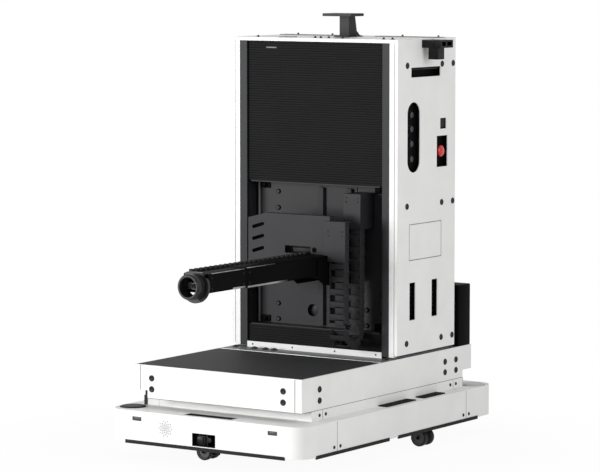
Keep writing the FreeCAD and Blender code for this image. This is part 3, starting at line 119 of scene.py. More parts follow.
# ------------------------------------------------------------------ modelling
def clear_selection() -> None:
    """Leave edit mode and deselect everything, the frame's nodes included."""
    if bpy.context.object is not None and bpy.context.object.mode != "OBJECT":
        bpy.ops.object.mode_set(mode="OBJECT")
    bpy.ops.object.select_all(action="DESELECT")


def take(piece: bpy.types.Object) -> None:
    """Make one object the only selected and active one.

    Args:
        piece: the object that the next operators act on.
    """
    clear_selection()
    piece.select_set(True)
    bpy.context.view_layer.objects.active = piece


def name_new(name: str) -> bpy.types.Object:
    """Name the object that a primitive operator has just added.

    Args:
        name: new name of the object and its mesh.

    Returns:
        The object.
    """
    piece = bpy.context.object
    piece.name = name
    piece.data.name = name
    return piece


def soften(piece: bpy.types.Object, width: float, segments: int = 2, angle: float = 30.0) -> bpy.types.Object:
    """Round the piece's sharp edges with a bevel that is applied.

    Args:
        piece: the mesh to soften.
        width: bevel width in millimetres.
        segments: faces across the bevel.
        angle: edges sharper than this, in degrees, are bevelled.

    Returns:
        The same object.
    """
    take(piece)
    bevel = piece.modifiers.new("soft_edges", "BEVEL")
    bevel.width = width * MM
    bevel.segments = segments
    bevel.limit_method = "ANGLE"
    bevel.angle_limit = math.radians(angle)
    bpy.ops.object.modifier_apply(modifier=bevel.name)
    bpy.ops.object.shade_smooth_by_angle(angle=math.radians(35))
    return piece


def block(name: str, low: Vector, high: Vector, bevel: float = 1.0, segments: int = 2) -> bpy.types.Object:
    """Model a box between two corners, with softened edges.

    Args:
        name: name of the piece.
        low: corner with the smallest coordinates.
        high: corner with the largest coordinates.
        bevel: edge width in millimetres; 0 leaves the edges sharp.
        segments: faces across each edge.

    Returns:
        The new object.
    """
    clear_selection()
    bpy.ops.mesh.primitive_cube_add(size=1.0, location=(low + high) / 2)
    piece = name_new(name)
    piece.scale = high - low
    bpy.ops.object.transform_apply(location=True, rotation=True, scale=True)
    return soften(piece, bevel, segments) if bevel > 0 else piece


def slab(name: str, xs: Sequence[float], ys: Sequence[float], zs: Sequence[float], bevel: float = 1.0,
         segments: int = 2) -> bpy.types.Object:
    """Model a box from its spans in millimetres from the chassis centre, each in either order.

    Args:
        name: name of the piece.
        xs: both ends along X.
        ys: both ends along Y.
        zs: both ends along Z.
        bevel: edge width in millimetres; 0 leaves the edges sharp.
        segments: faces across each edge.

    Returns:
        The new object.
    """
    low, high = at(min(xs), min(ys), min(zs)), at(max(xs), max(ys), max(zs))
    return block(name, low, high, bevel, segments)


def rod(name: str, start: Vector, facing: Vector, radius: float, length: float, bevel: float = 0.5,
        sides: int = 32) -> bpy.types.Object:
    """Model a round bar or disc with softened rims.

    Args:
        name: name of the piece.
        start: centre of the first end.
        facing: unit vector toward the other end.
        radius: radius in millimetres.
        length: length in millimetres.
        bevel: rim width in millimetres.
        sides: number of sides.

    Returns:
        The new object.
    """
    clear_selection()
    turn = Vector((0, 0, 1)).rotation_difference(facing).to_euler()
    centre = start + facing * (length * MM / 2)
    bpy.ops.mesh.primitive_cylinder_add(vertices=sides, radius=radius * MM, depth=length * MM,
                                        location=centre, rotation=turn)
    piece = name_new(name)
    bpy.ops.object.transform_apply(location=True, rotation=True, scale=True)
    if bevel > 0:
        soften(piece, bevel, 2, 50.0)
    return piece


def turned(name: str, profile: Sequence[tuple[float, float]], base: Vector, facing: Vector,
           steps: int = 48) -> bpy.types.Object:
    """Spin a profile round an axis, as on a lathe.

    Args:
        name: name of the piece.
        profile: radius and height of each point in millimetres, from the first end to the last.
        base: point on the axis at height 0.
        facing: unit vector of the axis.
        steps: faces round the axis.

    Returns:
        The new object.
    """
    clear_selection()
    bpy.ops.mesh.primitive_plane_add(size=1.0)
    piece = name_new(name)
    bpy.ops.object.mode_set(mode="EDIT")
    bpy.ops.mesh.select_mode(type="VERT")
    bpy.ops.mesh.select_all(action="SELECT")
    bpy.ops.mesh.merge(type="CENTER")
    first = profile[0]
    bpy.ops.transform.translate(value=(first[0] * MM, 0, first[1] * MM))
    for before, after in zip(profile, profile[1:]):
        step = ((after[0] - before[0]) * MM, 0, (after[1] - before[1]) * MM)
        bpy.ops.mesh.extrude_vertices_move(TRANSFORM_OT_translate={"value": step})
    bpy.ops.mesh.select_all(action="SELECT")
    bpy.ops.mesh.spin(steps=steps, angle=math.tau, center=(0, 0, 0), axis=(0, 0, 1))
    bpy.ops.mesh.select_all(action="SELECT")
    bpy.ops.mesh.remove_doubles(threshold=0.00001)
    bpy.ops.mesh.normals_make_consistent(inside=False)
    bpy.ops.object.mode_set(mode="OBJECT")
    piece.rotation_euler = Vector((0, 0, 1)).rotation_difference(facing).to_euler()
    piece.location = base
    bpy.ops.object.transform_apply(location=True, rotation=True, scale=True)
    bpy.ops.object.shade_smooth_by_angle(angle=math.radians(32))
    return piece


def carve(piece: bpy.types.Object, tools: Iterable[bpy.types.Object]) -> bpy.types.Object:
    """Cut other pieces out of one and delete them.

    Args:
        piece: the piece that keeps its name.
        tools: closed pieces to take away.

    Returns:
        The same object.
    """
    for tool in tools:
        take(piece)
        cut = piece.modifiers.new("cut", "BOOLEAN")
        cut.operation = "DIFFERENCE"
        cut.solver = "EXACT"
        cut.object = tool
        bpy.ops.object.modifier_apply(modifier=cut.name)
        bpy.data.objects.remove(tool, do_unlink=True)
    return piece


def copy_to(piece: bpy.types.Object, move: Vector) -> bpy.types.Object:
    """Copy a piece with its own mesh and move the copy.

    Args:
        piece: the pattern.
        move: how far the copy goes, in metres.

    Returns:
        The copy, with its place in its mesh.
    """
    take(piece)
    bpy.ops.object.duplicate(linked=False)
    twin = bpy.context.object
    twin.location = move
    bpy.ops.object.transform_apply(location=True, rotation=False, scale=False)
    return twin


def join(name: str, pieces: Sequence[bpy.types.Object]) -> bpy.types.Object:
    """Join several meshes into one object.

    Args:
        name: name of the result.
        pieces: the meshes, which end up in one object.

    Returns:
        The joined object.
    """
    clear_selection()
    for piece in pieces:
        piece.select_set(True)
    bpy.context.view_layer.objects.active = pieces[0]
    if len(pieces) > 1:
        bpy.ops.object.join()
    return name_new(name)


def spread(name: str, pattern: bpy.types.Object, moves: Sequence[Vector]) -> bpy.types.Object:
    """Copy a pattern to every place and join the copies; the pattern itself is removed.

    Args:
        name: name of the result.
        pattern: piece modelled round the frame's origin.
        moves: where each copy goes.

    Returns:
        The joined object.
    """
    copies = [copy_to(pattern, move) for move in moves]
    bpy.data.objects.remove(pattern, do_unlink=True)
    return join(name, copies)


# ------------------------------------------------------------------ finishes
def linear(colour: str) -> tuple[float, float, float, float]:
    """Turn an sRGB hex colour into linear values.

    Args:
        colour: six hex digits after a hash.

    Returns:
        Red, green, blue and alpha, linear.
    """
    values = [int(colour[i:i + 2], 16) / 255 for i in (1, 3, 5)]
    red, green, blue = [v / 12.92 if v <= 0.04045 else ((v + 0.055) / 1.055) ** 2.4 for v in values]
    return red, green, blue, 1.0


def add_node(tree: bpy.types.NodeTree, kind: str, inputs: Optional[dict] = None, links: Optional[dict] = None,
             **settings: object) -> bpy.types.Node:
    """Add a node with its settings, values and links.

    Args:
        tree: the node tree.
        kind: the node's type name.
        inputs: values of unlinked sockets by name or number.
        links: output sockets that feed inputs, by the input's name or number.
        **settings: attributes of the node itself.

    Returns:
        The new node.
    """
    node = tree.nodes.new(kind)
    for key, value in settings.items():
        setattr(node, key, value)
    for key, value in (inputs or {}).items():
        node.inputs[key].default_value = value
    for key, source in (links or {}).items():
        tree.links.new(source, node.inputs[key])
    return node


@dataclass(frozen=True)
class Finish:
    """A surface that varies a little in colour and gloss, with a fine relief.

    Attributes:
        name: plain name of the material.
        colour: sRGB hex of the main colour.
        tint: sRGB hex that the colour drifts toward.
        rough: lowest and highest roughness.
        grain: size of the relief in millimetres.
        relief: height of the relief in millimetres.
        blotch: size of the colour drift in millimetres.
        metallic: 1 for a bare metal.
        specular: strength of the surface gloss.
        coat: strength of a clear coat.
        edge: radius in millimetres by which hard sheet edges are rounded to the eye.
        stretch: scale of the grain along X, Y and Z; an uneven one gives brushing.
    """

    name: str
    colour: str
    tint: str
    rough: tuple[float, float] = (0.4, 0.5)
    grain: float = 2.0
    relief: float = 0.02
    blotch: float = 120.0
    metallic: float = 0.0
    specular: float = 0.5
    coat: float = 0.0
    edge: float = 0.8
    stretch: Point = (1.0, 1.0, 1.0)

    def build(self) -> bpy.types.Material:
        """Make the node material.

        Returns:
            The material, with every pattern on Object coordinates.
        """
        material = bpy.data.materials.new(self.name)
        material.use_nodes = True
        tree = material.node_tree
        tree.nodes.clear()
        place = add_node(tree, "ShaderNodeTexCoord")
        brushed = add_node(tree, "ShaderNodeMapping", {"Scale": self.stretch},
                           {"Vector": place.outputs["Object"]})
        drift = add_node(tree, "ShaderNodeTexNoise", {"Scale": 1 / (self.blotch * MM), "Detail": 4.0},
                         {"Vector": place.outputs["Object"]})
        grain = add_node(tree, "ShaderNodeTexNoise", {"Scale": 1 / (self.grain * MM), "Detail": 2.0},
                         {"Vector": brushed.outputs["Vector"]})
        colour = self.colour_mix(tree, drift)
        gloss = add_node(tree, "ShaderNodeMapRange", {"To Min": self.rough[0], "To Max": self.rough[1]},
                         {"Value": grain.outputs["Fac"]})
        edge = add_node(tree, "ShaderNodeBevel", {"Radius": self.edge * MM}, samples=4)
        bump = add_node(tree, "ShaderNodeBump", {"Strength": 0.6, "Distance": self.relief * MM},
                        {"Height": grain.outputs["Fac"], "Normal": edge.outputs["Normal"]})
        shader = add_node(tree, "ShaderNodeBsdfPrincipled",
                          {"Metallic": self.metallic, "Specular IOR Level": self.specular,
                           "Coat Weight": self.coat},
                          {"Base Color": colour, "Roughness": gloss.outputs["Result"],
                           "Normal": bump.outputs["Normal"]})
        add_node(tree, "ShaderNodeOutputMaterial", links={"Surface": shader.outputs["BSDF"]})
        return material

    def colour_mix(self, tree: bpy.types.NodeTree, drift: bpy.types.Node) -> bpy.types.NodeSocket:
        """Mix the two colours by the drift pattern.

        Args:
            tree: the node tree.
            drift: the noise that drives the mix.

        Returns:
            The colour socket.
        """
        ramp = add_node(tree, "ShaderNodeValToRGB", links={"Fac": drift.outputs["Fac"]})
        ramp.color_ramp.elements[0].position = 0.3
        ramp.color_ramp.elements[1].position = 0.7
        ramp.color_ramp.elements[0].color = linear(self.colour)
        ramp.color_ramp.elements[1].color = linear(self.tint)
        return ramp.outputs["Color"]


# Powder-coated sheet steel: baked polyester with a faint orange peel, about 1.5 mm across.
WHITE_COAT = Finish("white_powder_coat", "#F0F0EF", "#EAEAE9", (0.42, 0.5), 1.6, 0.015, specular=0.35)
# The same coating in black, on the plates that carry the arm and cover the lift.
BLACK_COAT = Finish("black_powder_coat", "#2B2B2D", "#27272A", (0.36, 0.46), 1.6, 0.02, specular=0.125)
# Textured black of the arm, the rear box and the boxes above the lift, finer in grain: near black and nearly
# glossless as painted shade for faces turned from the lamps.
SHADED_BLACK_COAT = Finish("shaded_fine_black_powder_coat", "#0C0C0D", "#0A0A0B", (0.42, 0.52), 1.1, 0.02, specular=0.018)
# Mid grey coating of the folded strips that close the foot of the tower.
GREY_COAT = Finish("grey_powder_coat", "#68696B", "#616264", (0.42, 0.52), 1.6, 0.02)
# Thick grey coating of the welded inner frame, hidden behind the panels.
FRAME_COAT = Finish("frame_powder_coat", "#4A4B4D", "#434446", (0.45, 0.6), 2.0, 0.03)
# Moulded glass-filled nylon: matt, with a fine spark-eroded texture.
NYLON = Finish("moulded_nylon", "#1A1A1B", "#161617", (0.45, 0.58), 0.8, 0.03, specular=0.16)
# The chain's glass-filled nylon, lighter than the other mouldings: painted light that keeps the links bright
# where the beam shades them.
LIT_CHAIN_NYLON = Finish("lit_chain_nylon", "#2F2F31", "#2A2A2C", (0.5, 0.62), 0.8, 0.03, specular=0.08)
# Extruded dark anodised aluminium: fine lines along its length.
DARK_EXTRUSION = Finish("dark_anodised_extrusion", "#262729", "#222325", (0.36, 0.48), 0.6, 0.02,
                        specular=0.14, stretch=(1.0, 1.0, 0.02))
# Extruded nitrile: dull, with a slight bloom.
RUBBER = Finish("nitrile_rubber", "#232324", "#1D1D1E", (0.6, 0.75), 1.2, 0.05, specular=0.15)
# Calendered rubber sheet of the deck: dull, with a coarser leather grain.
MAT = Finish("rubber_deck_mat", "#2B2B2D", "#262627", (0.6, 0.72), 2.5, 0.08, specular=0.2)
# Polyurethane-coated polyester cloth: the weave shows as a fine relief under a satin coat.
CLOTH = Finish("coated_bellows_cloth", "#151516", "#121213", (0.5, 0.62), 0.7, 0.03, specular=0.07)
# Brushed and clear anodised aluminium.
ANODISED = Finish("clear_anodised_aluminium", "#C4C6C9", "#B7B9BC", (0.35, 0.45), 0.6, 0.01, metallic=1.0,
                  stretch=(1.0, 1.0, 0.02))
# Cast polyurethane of the treads: smooth from the mould, dulled by running.
POLYURETHANE = Finish("polyurethane_tread", "#1E1E1F", "#19191A", (0.5, 0.65), 1.5, 0.05, specular=0.2)
# Injection-moulded caps from polished moulds, one red and one black.
RED_CAP = Finish("red_abs_cap", "#D3120D", "#C10F0B", (0.25, 0.32), 3.0, 0.01, specular=0.5, coat=0.2)
GLOSS_CAP = Finish("black_abs_cap", "#161617", "#131314", (0.2, 0.3), 3.0, 0.01, specular=0.35)
# Smoked polycarbonate windows: polished, nearly opaque to the eye.
DARK_LENS = Finish("smoked_polycarbonate", "#1A1A1D", "#161619", (0.26, 0.34), 30.0, 0.002, specular=0.14)
# Infrared-passing windows of the cover's slots: smooth and grey.
GREY_PANE = Finish("infrared_window", "#4E4F52", "#47484B", (0.28, 0.36), 30.0, 0.002, specular=0.2)
# Black zinc plating on rolled screws.
ZINC = Finish("black_zinc_screw", "#1B1B1C", "#161617", (0.34, 0.46), 0.8, 0.01, specular=0.16)
# Blackened steel of the larger bolts: hot oxide, nearly matt.
BLACK_BOLT = Finish("black_oxide_bolt", "#0B0B0C", "#080809", (0.5, 0.62), 0.8, 0.01, specular=0.025)
# Satin lacquer on the machined fittings of the front.
SATIN_BLACK = Finish("satin_black_lacquer", "#1D1D1F", "#18181A", (0.26, 0.36), 1.6, 0.012, specular=0.25)
# Bright metal strips on parts of the beam's edges: painted highlight, for the streaks of light that these
# edges catch.
EDGE_HIGHLIGHT = Finish("painted_edge_highlight", "#B4B5B7", "#6A6B6D", (0.22, 0.34), 1.0, 0.01, metallic=1.0,
                     blotch=160.0)
# Flocked lining of recesses: takes nearly all the light.
PORT_BLACK = Finish("matt_black_lining", "#0C0C0D", "#09090A", (0.7, 0.85), 1.0, 0.02, specular=0.05)
# Extruded sponge gasket in the panel gaps, seen edge on.
GASKET = Finish("sponge_gasket", "#222223", "#1C1C1D", (0.7, 0.85), 1.0, 0.02, specular=0.08)
# Pale grey cap of the rear scanner, whose twin at the front is black: painted light, for how its top catches
# the light.
LIT_SCANNER_CAP = Finish("lit_pale_grey_scanner_cap", "#B9BABB", "#ADAEAF", (0.35, 0.45), 1.0, 0.02, specular=0.4)
# Ground rail under a black oxide, drawn lengthwise.
BLACK_RAIL = Finish("black_oxide_rail", "#434446", "#3F4042", (0.45, 0.55), 0.6, 0.01, specular=0.04,
                    stretch=(1.0, 1.0, 0.02))
# Phosphated steel of the lift rails, drawn lengthwise.
GREY_RAIL = Finish("grey_phosphated_rail", "#6A6B6D", "#606163", (0.4, 0.5), 0.6, 0.01,
                   stretch=(1.0, 1.0, 0.02))
# Cast grey nylon of the wheel centres.
HUB = Finish("grey_nylon_hub", "#4B4C4E", "#434446", (0.45, 0.55), 1.0, 0.02)


class Palette:
    """Builds each finish once and hands out its material."""

    def __init__(self) -> None:
        """Start with no material built."""
        self.made: dict[str, bpy.types.Material] = {}

    def get(self, finish: Finish) -> bpy.types.Material:
        """Give the material of a finish.

        Args:
            finish: the finish.

        Returns:
            Its material, built on first use.
        """
        if finish.name not in self.made:
            self.made[finish.name] = finish.build()
        return self.made[finish.name]


PALETTE = Palette()


def dress(piece: bpy.types.Object, finish: Finish, body: str, slot: str,
          *stands_for: str) -> bpy.types.Object:
    """Give a new piece its finish and its body, and hide the frame nodes that it replaces.

    Args:
        piece: the finished mesh.
        finish: its finish.
        body: body that it rides on.
        slot: material slot of the record; not used.
        *stands_for: frame nodes that it replaces.

    Returns:
        The same object.
    """
    piece.data.materials.clear()
    piece.data.materials.append(PALETTE.get(finish))
    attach(piece, body)
    if stands_for:
        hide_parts(*stands_for)
    LOG.info("%s on %s", piece.name, body)
    return piece


def extent(node: str) -> tuple[Vector, Vector]:
    """Read the corners of a frame node.

    Args:
        node: name of the node.

    Returns:
        Lowest and highest corner in millimetres from the chassis centre.
    """
    low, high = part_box(node)
    return (low - CENTRE) / MM, (high - CENTRE) / MM


def disc_and_socket(name: str, radius: float, height: float, socket: float) -> bpy.types.Object:
    """Model a button-head screw with a hexagon socket, standing on the origin and looking up.

    Args:
        name: name of the piece.
        radius: head radius in millimetres.
        height: head height in millimetres.
        socket: width of the socket over its corners, as a radius in millimetres.

    Returns:
        The new object.
    """
    profile = [(0.0, 0.0), (radius, 0.0), (radius, height * 0.35), (radius * 0.93, height * 0.75),
               (radius * 0.72, height)]
    head = turned(name, profile, Vector((0, 0, 0)), Facing.UP.vector(), 20)
    take(head)
    bpy.ops.object.mode_set(mode="EDIT")
    bpy.ops.mesh.select_mode(type="VERT")
    bpy.ops.mesh.select_all(action="DESELECT")
    bpy.ops.mesh.select_non_manifold()
    bpy.ops.mesh.edge_face_add()
    bpy.ops.mesh.inset(thickness=(radius * 0.72 - socket) * MM)
    bpy.ops.transform.translate(value=(0, 0, -height * 0.55 * MM))
    bpy.ops.mesh.select_all(action="SELECT")
    bpy.ops.mesh.normals_make_consistent(inside=False)
    bpy.ops.object.mode_set(mode="OBJECT")
    return head


def face_to(piece: bpy.types.Object, facing: Facing) -> bpy.types.Object:
    """Turn a piece modelled looking up so that it looks another way.

    Args:
        piece: the piece, standing on the origin.
        facing: where it looks afterwards.

    Returns:
        The same object.
    """
    take(piece)
    piece.rotation_euler = Vector((0, 0, 1)).rotation_difference(facing.vector()).to_euler()
    bpy.ops.object.transform_apply(location=False, rotation=True, scale=False)
    return piece


def folded(name: str, section: Sequence[tuple[float, float]], x0: float, x1: float,
           thickness: float) -> bpy.types.Object:
    """Fold a sheet whose section is drawn in Y and Z, along X.

    Args:
        name: name of the piece.
        section: Y and Z of each bend in millimetres, in order.
        x0: left end in millimetres.
        x1: right end in millimetres.
        thickness: sheet thickness in millimetres.

    Returns:
        The new object.
    """
    clear_selection()
    bpy.ops.mesh.primitive_plane_add(size=1.0)
    piece = name_new(name)
    bpy.ops.object.mode_set(mode="EDIT")
    bpy.ops.mesh.select_mode(type="VERT")
    bpy.ops.mesh.select_all(action="SELECT")
    bpy.ops.mesh.merge(type="CENTER")
    bpy.ops.transform.translate(value=at(x0, *section[0]))
    for before, after in zip(section, section[1:]):
        step = (0, (after[0] - before[0]) * MM, (after[1] - before[1]) * MM)
        bpy.ops.mesh.extrude_vertices_move(TRANSFORM_OT_translate={"value": step})
    bpy.ops.mesh.select_all(action="SELECT")
    bpy.ops.mesh.extrude_edges_move(TRANSFORM_OT_translate={"value": ((x1 - x0) * MM, 0, 0)})
    bpy.ops.mesh.select_all(action="SELECT")
    bpy.ops.mesh.normals_make_consistent(inside=False)
    bpy.ops.object.mode_set(mode="OBJECT")
    sheet = piece.modifiers.new("sheet", "SOLIDIFY")
    sheet.thickness = thickness * MM
    sheet.offset = 0.0
    bpy.ops.object.modifier_apply(modifier=sheet.name)
    return piece


# ------------------------------------------------------------------ bellows
@dataclass
class Bellows:
    """Pleated cloth covers of the tower's opening, above and below the carriage.

    Attributes:
        pitch: height of a pleat in millimetres.
        valley: height of the groove between two pleats.
        depth: how far the groove goes in.
        crown: how far a pleat's middle stands proud of its edges.
        cloth: thickness of the cloth.
        shut: share of the upper cover's height that is left when the lift is at the top; not used.
        tab: left and right end and lowest and highest edge of the small grey tab near the top, whose pale
            grey paints a highlight on a label.
    """

    pitch: float = 8.6
    valley: float = 1.5
    depth: float = 2.4
    crown: float = 0.3
    cloth: float = 0.5
    shut: float = 0.118
    tab: tuple[float, float, float, float] = (-206.0, -162.0, 1396.0, 1401.0)

    def build(self) -> None:
        """Make both covers."""
        low, high = extent("upper_bellows")
        upper = dress(self.pleats("upper_cover", "upper_bellows"), CLOTH, "chassis", "bellows_fabric",
                      "upper_bellows")
        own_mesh(upper)
        # The grey tab paints the highlight of a label on the upper cover.
        tab = slab("cover_label_highlight", (self.tab[0], self.tab[1]), (low.y - 1.5, low.y + 1),
                   (self.tab[2], self.tab[3]), 0.6)
        dress(tab, GREY_COAT, "chassis", "grey_paint")
        low, high = extent("lower_bellows")
        lower = self.pleats("lower_cover", "lower_bellows")
        lower.data.materials.append(PALETTE.get(CLOTH))
        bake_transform(lower)
        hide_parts("lower_bellows")

    def pleats(self, name: str, node: str) -> bpy.types.Object:
        """Fold one cover inside the box of its frame node.

        Args:
            name: name of the cover.
            node: frame node that it stands for.

        Returns:
            The folded cloth.
        """
        low, high = extent(node)
        count = max(1, round((high.z - low.z) / self.pitch))
        pitch = (high.z - low.z) / count
        face = low.y + self.crown + self.cloth
        section = [(face + self.depth, low.z)]
        for i in range(count):
            foot = low.z + i * pitch
            section += [(face, foot + self.valley / 2), (face - self.crown, foot + pitch / 2),
                        (face, foot + pitch - self.valley / 2), (face + self.depth, foot + pitch)]
        cover = folded(name, section, low.x, high.x, self.cloth)
        LOG.info("%s: %d pleats", name, count)
        return cover


# ------------------------------------------------------------------ energy chain
@dataclass
class EnergyChain:
    """Hanging chain that feeds the arm: a run on the arm, a half turn and a run on the carriage.

    Attributes:
        pitch: length of a link.
        plate: thickness of a side plate.
        bar: share of the pitch that a crossbar covers.
        bar_thickness: thickness of a crossbar.
        boss: radius of the pivot bosses.
        boss_proud: how far the bosses and pads stand out.
        tongue: share of the width that the tongue between two crossbars covers.
        pad: radius of the round pads of the rear run.
        pad_place: where a pad sits, as a share of the half width.
        lap: overlap of neighbouring side plates.
        open_links: links at the top of the front run without a tongue.
        slack: gap that is left between a tongue and the next crossbar.
    """

    pitch: float = 42.0
    plate: float = 3.4
    bar: float = 0.5
    bar_thickness: float = 4.0
    boss: float = 7.0
    boss_proud: float = 0.4
    tongue: float = 0.62
    pad: float = 12.5
    pad_place: float = 0.25
    lap: float = 5.0
    open_links: int = 2
    slack: float = 1.6

    def build(self) -> None:
        """Make the three pieces of the chain."""
        low, high = extent("chain_front_leg")
        front = self.run("front_run", low, high, self.open_links, rounded=False)
        cables = self.cables("front_cables", low, high)
        # The chain's lighter nylon is painted light for the links in the beam's shade.
        for piece, finish in ((cables, PORT_BLACK), (front, LIT_CHAIN_NYLON)):
            piece.data.materials.append(PALETTE.get(finish))
            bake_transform(piece)
        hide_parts("chain_front_leg")
        low, high = extent("chain_rear_leg")
        rear = dress(self.run("rear_run", low, high, 0, rounded=True), LIT_CHAIN_NYLON, "carriage",
                     "chain_plastic", "chain_rear_leg")
        for piece in (rear, dress(self.cables("rear_cables", low, high), PORT_BLACK, "carriage",
                                  "chain_plastic")):
            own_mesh(piece)
        dress(self.half_turn(), LIT_CHAIN_NYLON, "chain_bend", "chain_plastic", "chain_bend")

    def cables(self, name: str, low: Vector, high: Vector) -> bpy.types.Object:
        """Fill a run with the dark bundle of cables that its windows show.

        Args:
            name: name of the bundle.
            low: lowest corner of the frame node.
            high: highest corner of the frame node.

        Returns:
            The bundle.
        """
        inset = self.plate + self.bar_thickness
        return slab(name, (low.x + inset, high.x - inset), (low.y + inset, high.y - inset), (low.z, high.z),
                    2.0)

    @staticmethod
    def stage_travel() -> float:
        """Travel of the arm stage in metres."""
        return next(joint["range_m"][1] for joint in frame["joints"] if joint["name"] == "arm_stage")

    def link(self, name: str, size: Point, tongue: bool, rounded: bool) -> bpy.types.Object:
        """Model one link round the frame's origin, running along Z.

        Args:
            name: name of the piece.
            size: width along X, thickness along Y and pitch along Z.
            tongue: whether a tongue hangs over most of the gap to the crossbar below.
            rounded: whether that tongue ends in a round pad.

        Returns:
            The link.
        """
        w, t, h = (length / 2 * MM for length in size)
        plate, bar, wall = self.plate * MM, self.bar * h, self.bar_thickness * MM
        lap, proud = self.lap * MM, self.boss_proud * MM
        pieces = []
        for side in (-1, 1):
            for shift, low, high in ((0.1, -h, lap), (0.5, -lap, h)):
                xs = sorted((side * (w - shift * plate), side * (w - (shift + 0.5) * plate)))
                pieces.append(block(name, Vector((xs[0], -t, low)), Vector((xs[1], t, high)), 0.8))
            start = Vector((side * (w - plate / 2), 0, 0))
            pieces.append(rod(name, start, Vector((side, 0, 0)), self.boss, self.plate / 2 - self.boss_proud,
                              0.4, 20))
            near, far = side * (t - proud), side * (t - wall)
            ys = sorted((near, far))
            pieces.append(block(name, Vector((-w + 0.2 * plate, ys[0], -bar)),
                                Vector((w - 0.2 * plate, ys[1], bar)), 1.0))
            if tongue:
                left, foot = w - 2 * w * self.tongue, -(2 * h - bar - self.slack * MM)
                pieces.append(block(name, Vector((left, ys[0], foot)), Vector((w - plate, ys[1], lap - bar)),
                                    0.8))
            if rounded:
                start = Vector((w * self.pad_place, near, -bar))
                pieces.append(rod(name, start, Vector((0, side, 0)), self.pad, self.boss_proud * 2, 0.5, 28))
        return join(name, pieces)

    def run(self, name: str, low: Vector, high: Vector, open_links: int, rounded: bool) -> bpy.types.Object:
        """Stack links from the bend up to the bracket.

        Args:
            name: name of the run.
            low: lowest corner of the frame node.
            high: highest corner of the frame node.
            open_links: topmost links without a tongue.
            rounded: whether the tongues end in round pads.

        Returns:
            The run of links.
        """
        count = round((high.z - low.z) / self.pitch)
        pitch = (high.z - low.z) / count
        size = (high.x - low.x, high.y - low.y, pitch)
        middle = at((low.x + high.x) / 2, (low.y + high.y) / 2, low.z + pitch / 2)
        moves = [middle + Vector((0, 0, i * pitch * MM)) for i in range(count)]
        closed = spread(name, self.link("closed_link", size, True, rounded), moves[:count - open_links])
        if not open_links:
            return closed
        opened = spread(name, self.link("open_link", size, False, False), moves[count - open_links:])
        return join(name, [closed, opened])

    def half_turn(self) -> bpy.types.Object:
        """Set links round the half circle at the chain's foot.

        Returns:
            The bent length of chain.
        """
        low, high = extent("chain_bend")
        front_low, front_high = extent("chain_front_leg")
        thick = front_high.y - front_low.y
        radius = (high.y - low.y - thick) / 2
        centre = Vector(((low.x + high.x) / 2, (low.y + high.y) / 2, high.z))
        count = round(math.pi * radius / self.pitch)
        length = math.pi * radius / count
        turned_links = []
        for i in range(count):
            angle = math.pi * (i + 0.5) / count
            link = self.link("bent_link", (high.x - low.x, thick - 1.5, length * 0.98), False, False)
            take(link)
            link.rotation_euler = (angle, 0, 0)
            link.location = at(centre.x, centre.y - radius * math.cos(angle),
                               centre.z - radius * math.sin(angle))
            bpy.ops.object.transform_apply(location=True, rotation=True, scale=False)
            turned_links.append(link)
        return join("foot_bend", turned_links)


